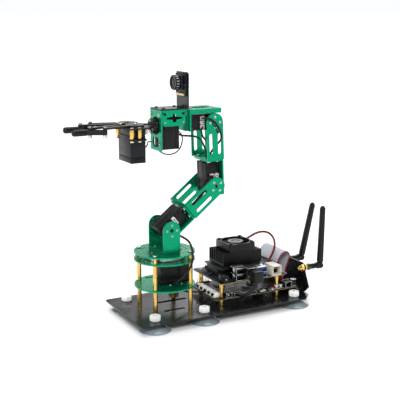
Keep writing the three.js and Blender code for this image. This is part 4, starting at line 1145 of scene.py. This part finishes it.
# ------------------------------------------------------------------ cooler and flat cable
def make_cooler():
    """Screws of the fan, and the disc on its hub."""
    low, high = extent("fan_frame")
    middle = ((low.x + high.x) / 2, (low.y + high.y) / 2)
    fan = Shape("fan_screws")
    for i, j in FOUR_WAYS:
        fan.screw("z", 1, high.z - 0.05, (middle[0] + 16 * i, middle[1] + 16 * j), 2.3, "plastic")
    fan.done("base")
    disc = Shape("fan_hub_disc")
    rim = extent("fan_rotor")[1].z
    profile = [(0, rim - 0.1), (10.4, rim - 0.1), (10.4, rim + 0.15), (10, rim + 0.22), (0, rim + 0.22)]
    disc.lathe(profile, "z", (*middle, 0), "label", 48)
    disc.rod("z", 6.2, (rim + 0.1, rim + 0.34), middle, "plastic", 40, 0.06)
    disc.rod("z", 2.2, (rim + 0.2, rim + 0.42), middle, "label", 24, 0.06)
    disc.done("fan")


def make_ribbon():
    """Flat cable of many wires, with a red edge and its two sockets."""
    spine = [(163, 51.5), (164.6, 57), (168.6, 63.4), (174.6, 67.6), (180.6, 66.4),
             (182.8, 60.6), (180, 52), (176.6, 43), (175.6, 32.2)]
    fine = smooth_route([Vector((x, 0, z)) for x, z in spine], 1.6)
    half = 0.55
    near, far = [], []
    for i, point in enumerate(fine):
        ahead = (fine[min(i + 1, len(fine) - 1)] - fine[max(i - 1, 0)]).normalized()
        off = Vector((-ahead.z, 0, ahead.x)) * half
        near.append(((point + off).x, (point + off).z))
        far.append(((point - off).x, (point - off).z))
    outline = near + far[::-1]
    cable = Shape("flat_cable")
    first_edge, width, wires_across, gap = -18, 51, 40, 0.03
    pitch = width / wires_across
    for i in range(wires_across):
        start = first_edge + i * pitch
        color = "red_wire" if i == 0 else "ribbon"
        cable.prism(outline, (start + gap, start + pitch - gap), "y", color, 0)
    cable.done("base", "ribbon_cable")
    ends = Shape("flat_cable_sockets")
    ends.block((160.2, 165.6), (-18.6, 33.6), (49.2, 54), "plastic", 0.4)
    ends.block((171.6, 179.4), (-18.8, 33.8), (31.3, 36.4), "plastic", 0.4)
    ends.block((172.4, 178.6), (-18.4, 33.4), (36.2, 38), "ribbon", 0.3)
    ends.block((168.5, 171.4), (-21.6, -12), (31.2, 36.2), "red", 0.4)
    ends.done("base")


# ------------------------------------------------------------------ antennas
def make_antennas():
    """Nuts and threads of the two sockets, and the knurled collar of each antenna."""
    fittings = Shape("antenna_fittings")
    places = [PIVOT[f"antenna_{number}_swivel"] / MM for number in (1, 2)]
    for place in places:
        at = (place.y, place.z)
        fittings.rod("x", 5, (196.2, 198.4), at, "gold", 6, 0.3)
        fittings.rod("x", 4.2, (198.3, 199), at, "gold", 32, 0.15)
        fittings.rod("x", 4.6, (191.6, 193.9), at, "gold", 6, 0.3)
        fittings.rod("x", 3.1, (187.4, 193.9), at, "gold", 24, 0.2)
    for y in (-26, 26):
        fittings.screw("z", 1, 14.75, (191.4, y), 1.9)
    fittings.done("base")
    for number, place in enumerate(places, 1):
        lean = Vector(next(j["axis"] for j in frame["joints"] if j["name"] == f"antenna_{number}_fold"))
        turn = Matrix.Rotation(math.atan2(lean.z, lean.y), 4, "X")
        socket = Matrix.Translation(Vector((0, place.y, place.z)) * MM)
        collar = Shape(f"antenna_{number}_collar", BASE @ socket @ turn)
        ring = [(3.4, 199.4), (4.35, 199.4), (4.5, 199.9), (4.5, 204.4), (4.35, 204.9), (3.4, 204.9)]
        collar.lathe(ring, "x", (0, 0, 0), "horn", 72, lambda a: 1 - 0.02 * (math.cos(24 * a) > 0))
        for side in (-1, 1):
            # Two small holes in the collar, painted near-black as shade.
            collar.rod("y", 1.5, sorted((side * 3.6, side * 3.95)), (222, 0), "recess", 20, 0.05)
        collar.done(f"antenna_{number}_stub")


# ------------------------------------------------------------------ assembly
make_camera()
make_leads()
dress_nodes()
make_feet()
make_tower()
make_joints()
make_roll_unit()
make_head_camera()
make_gripper()
make_finger_sleeves()
make_driver_board()
make_carrier_board()
make_cooler()
make_ribbon()
make_antennas()
make_studio()
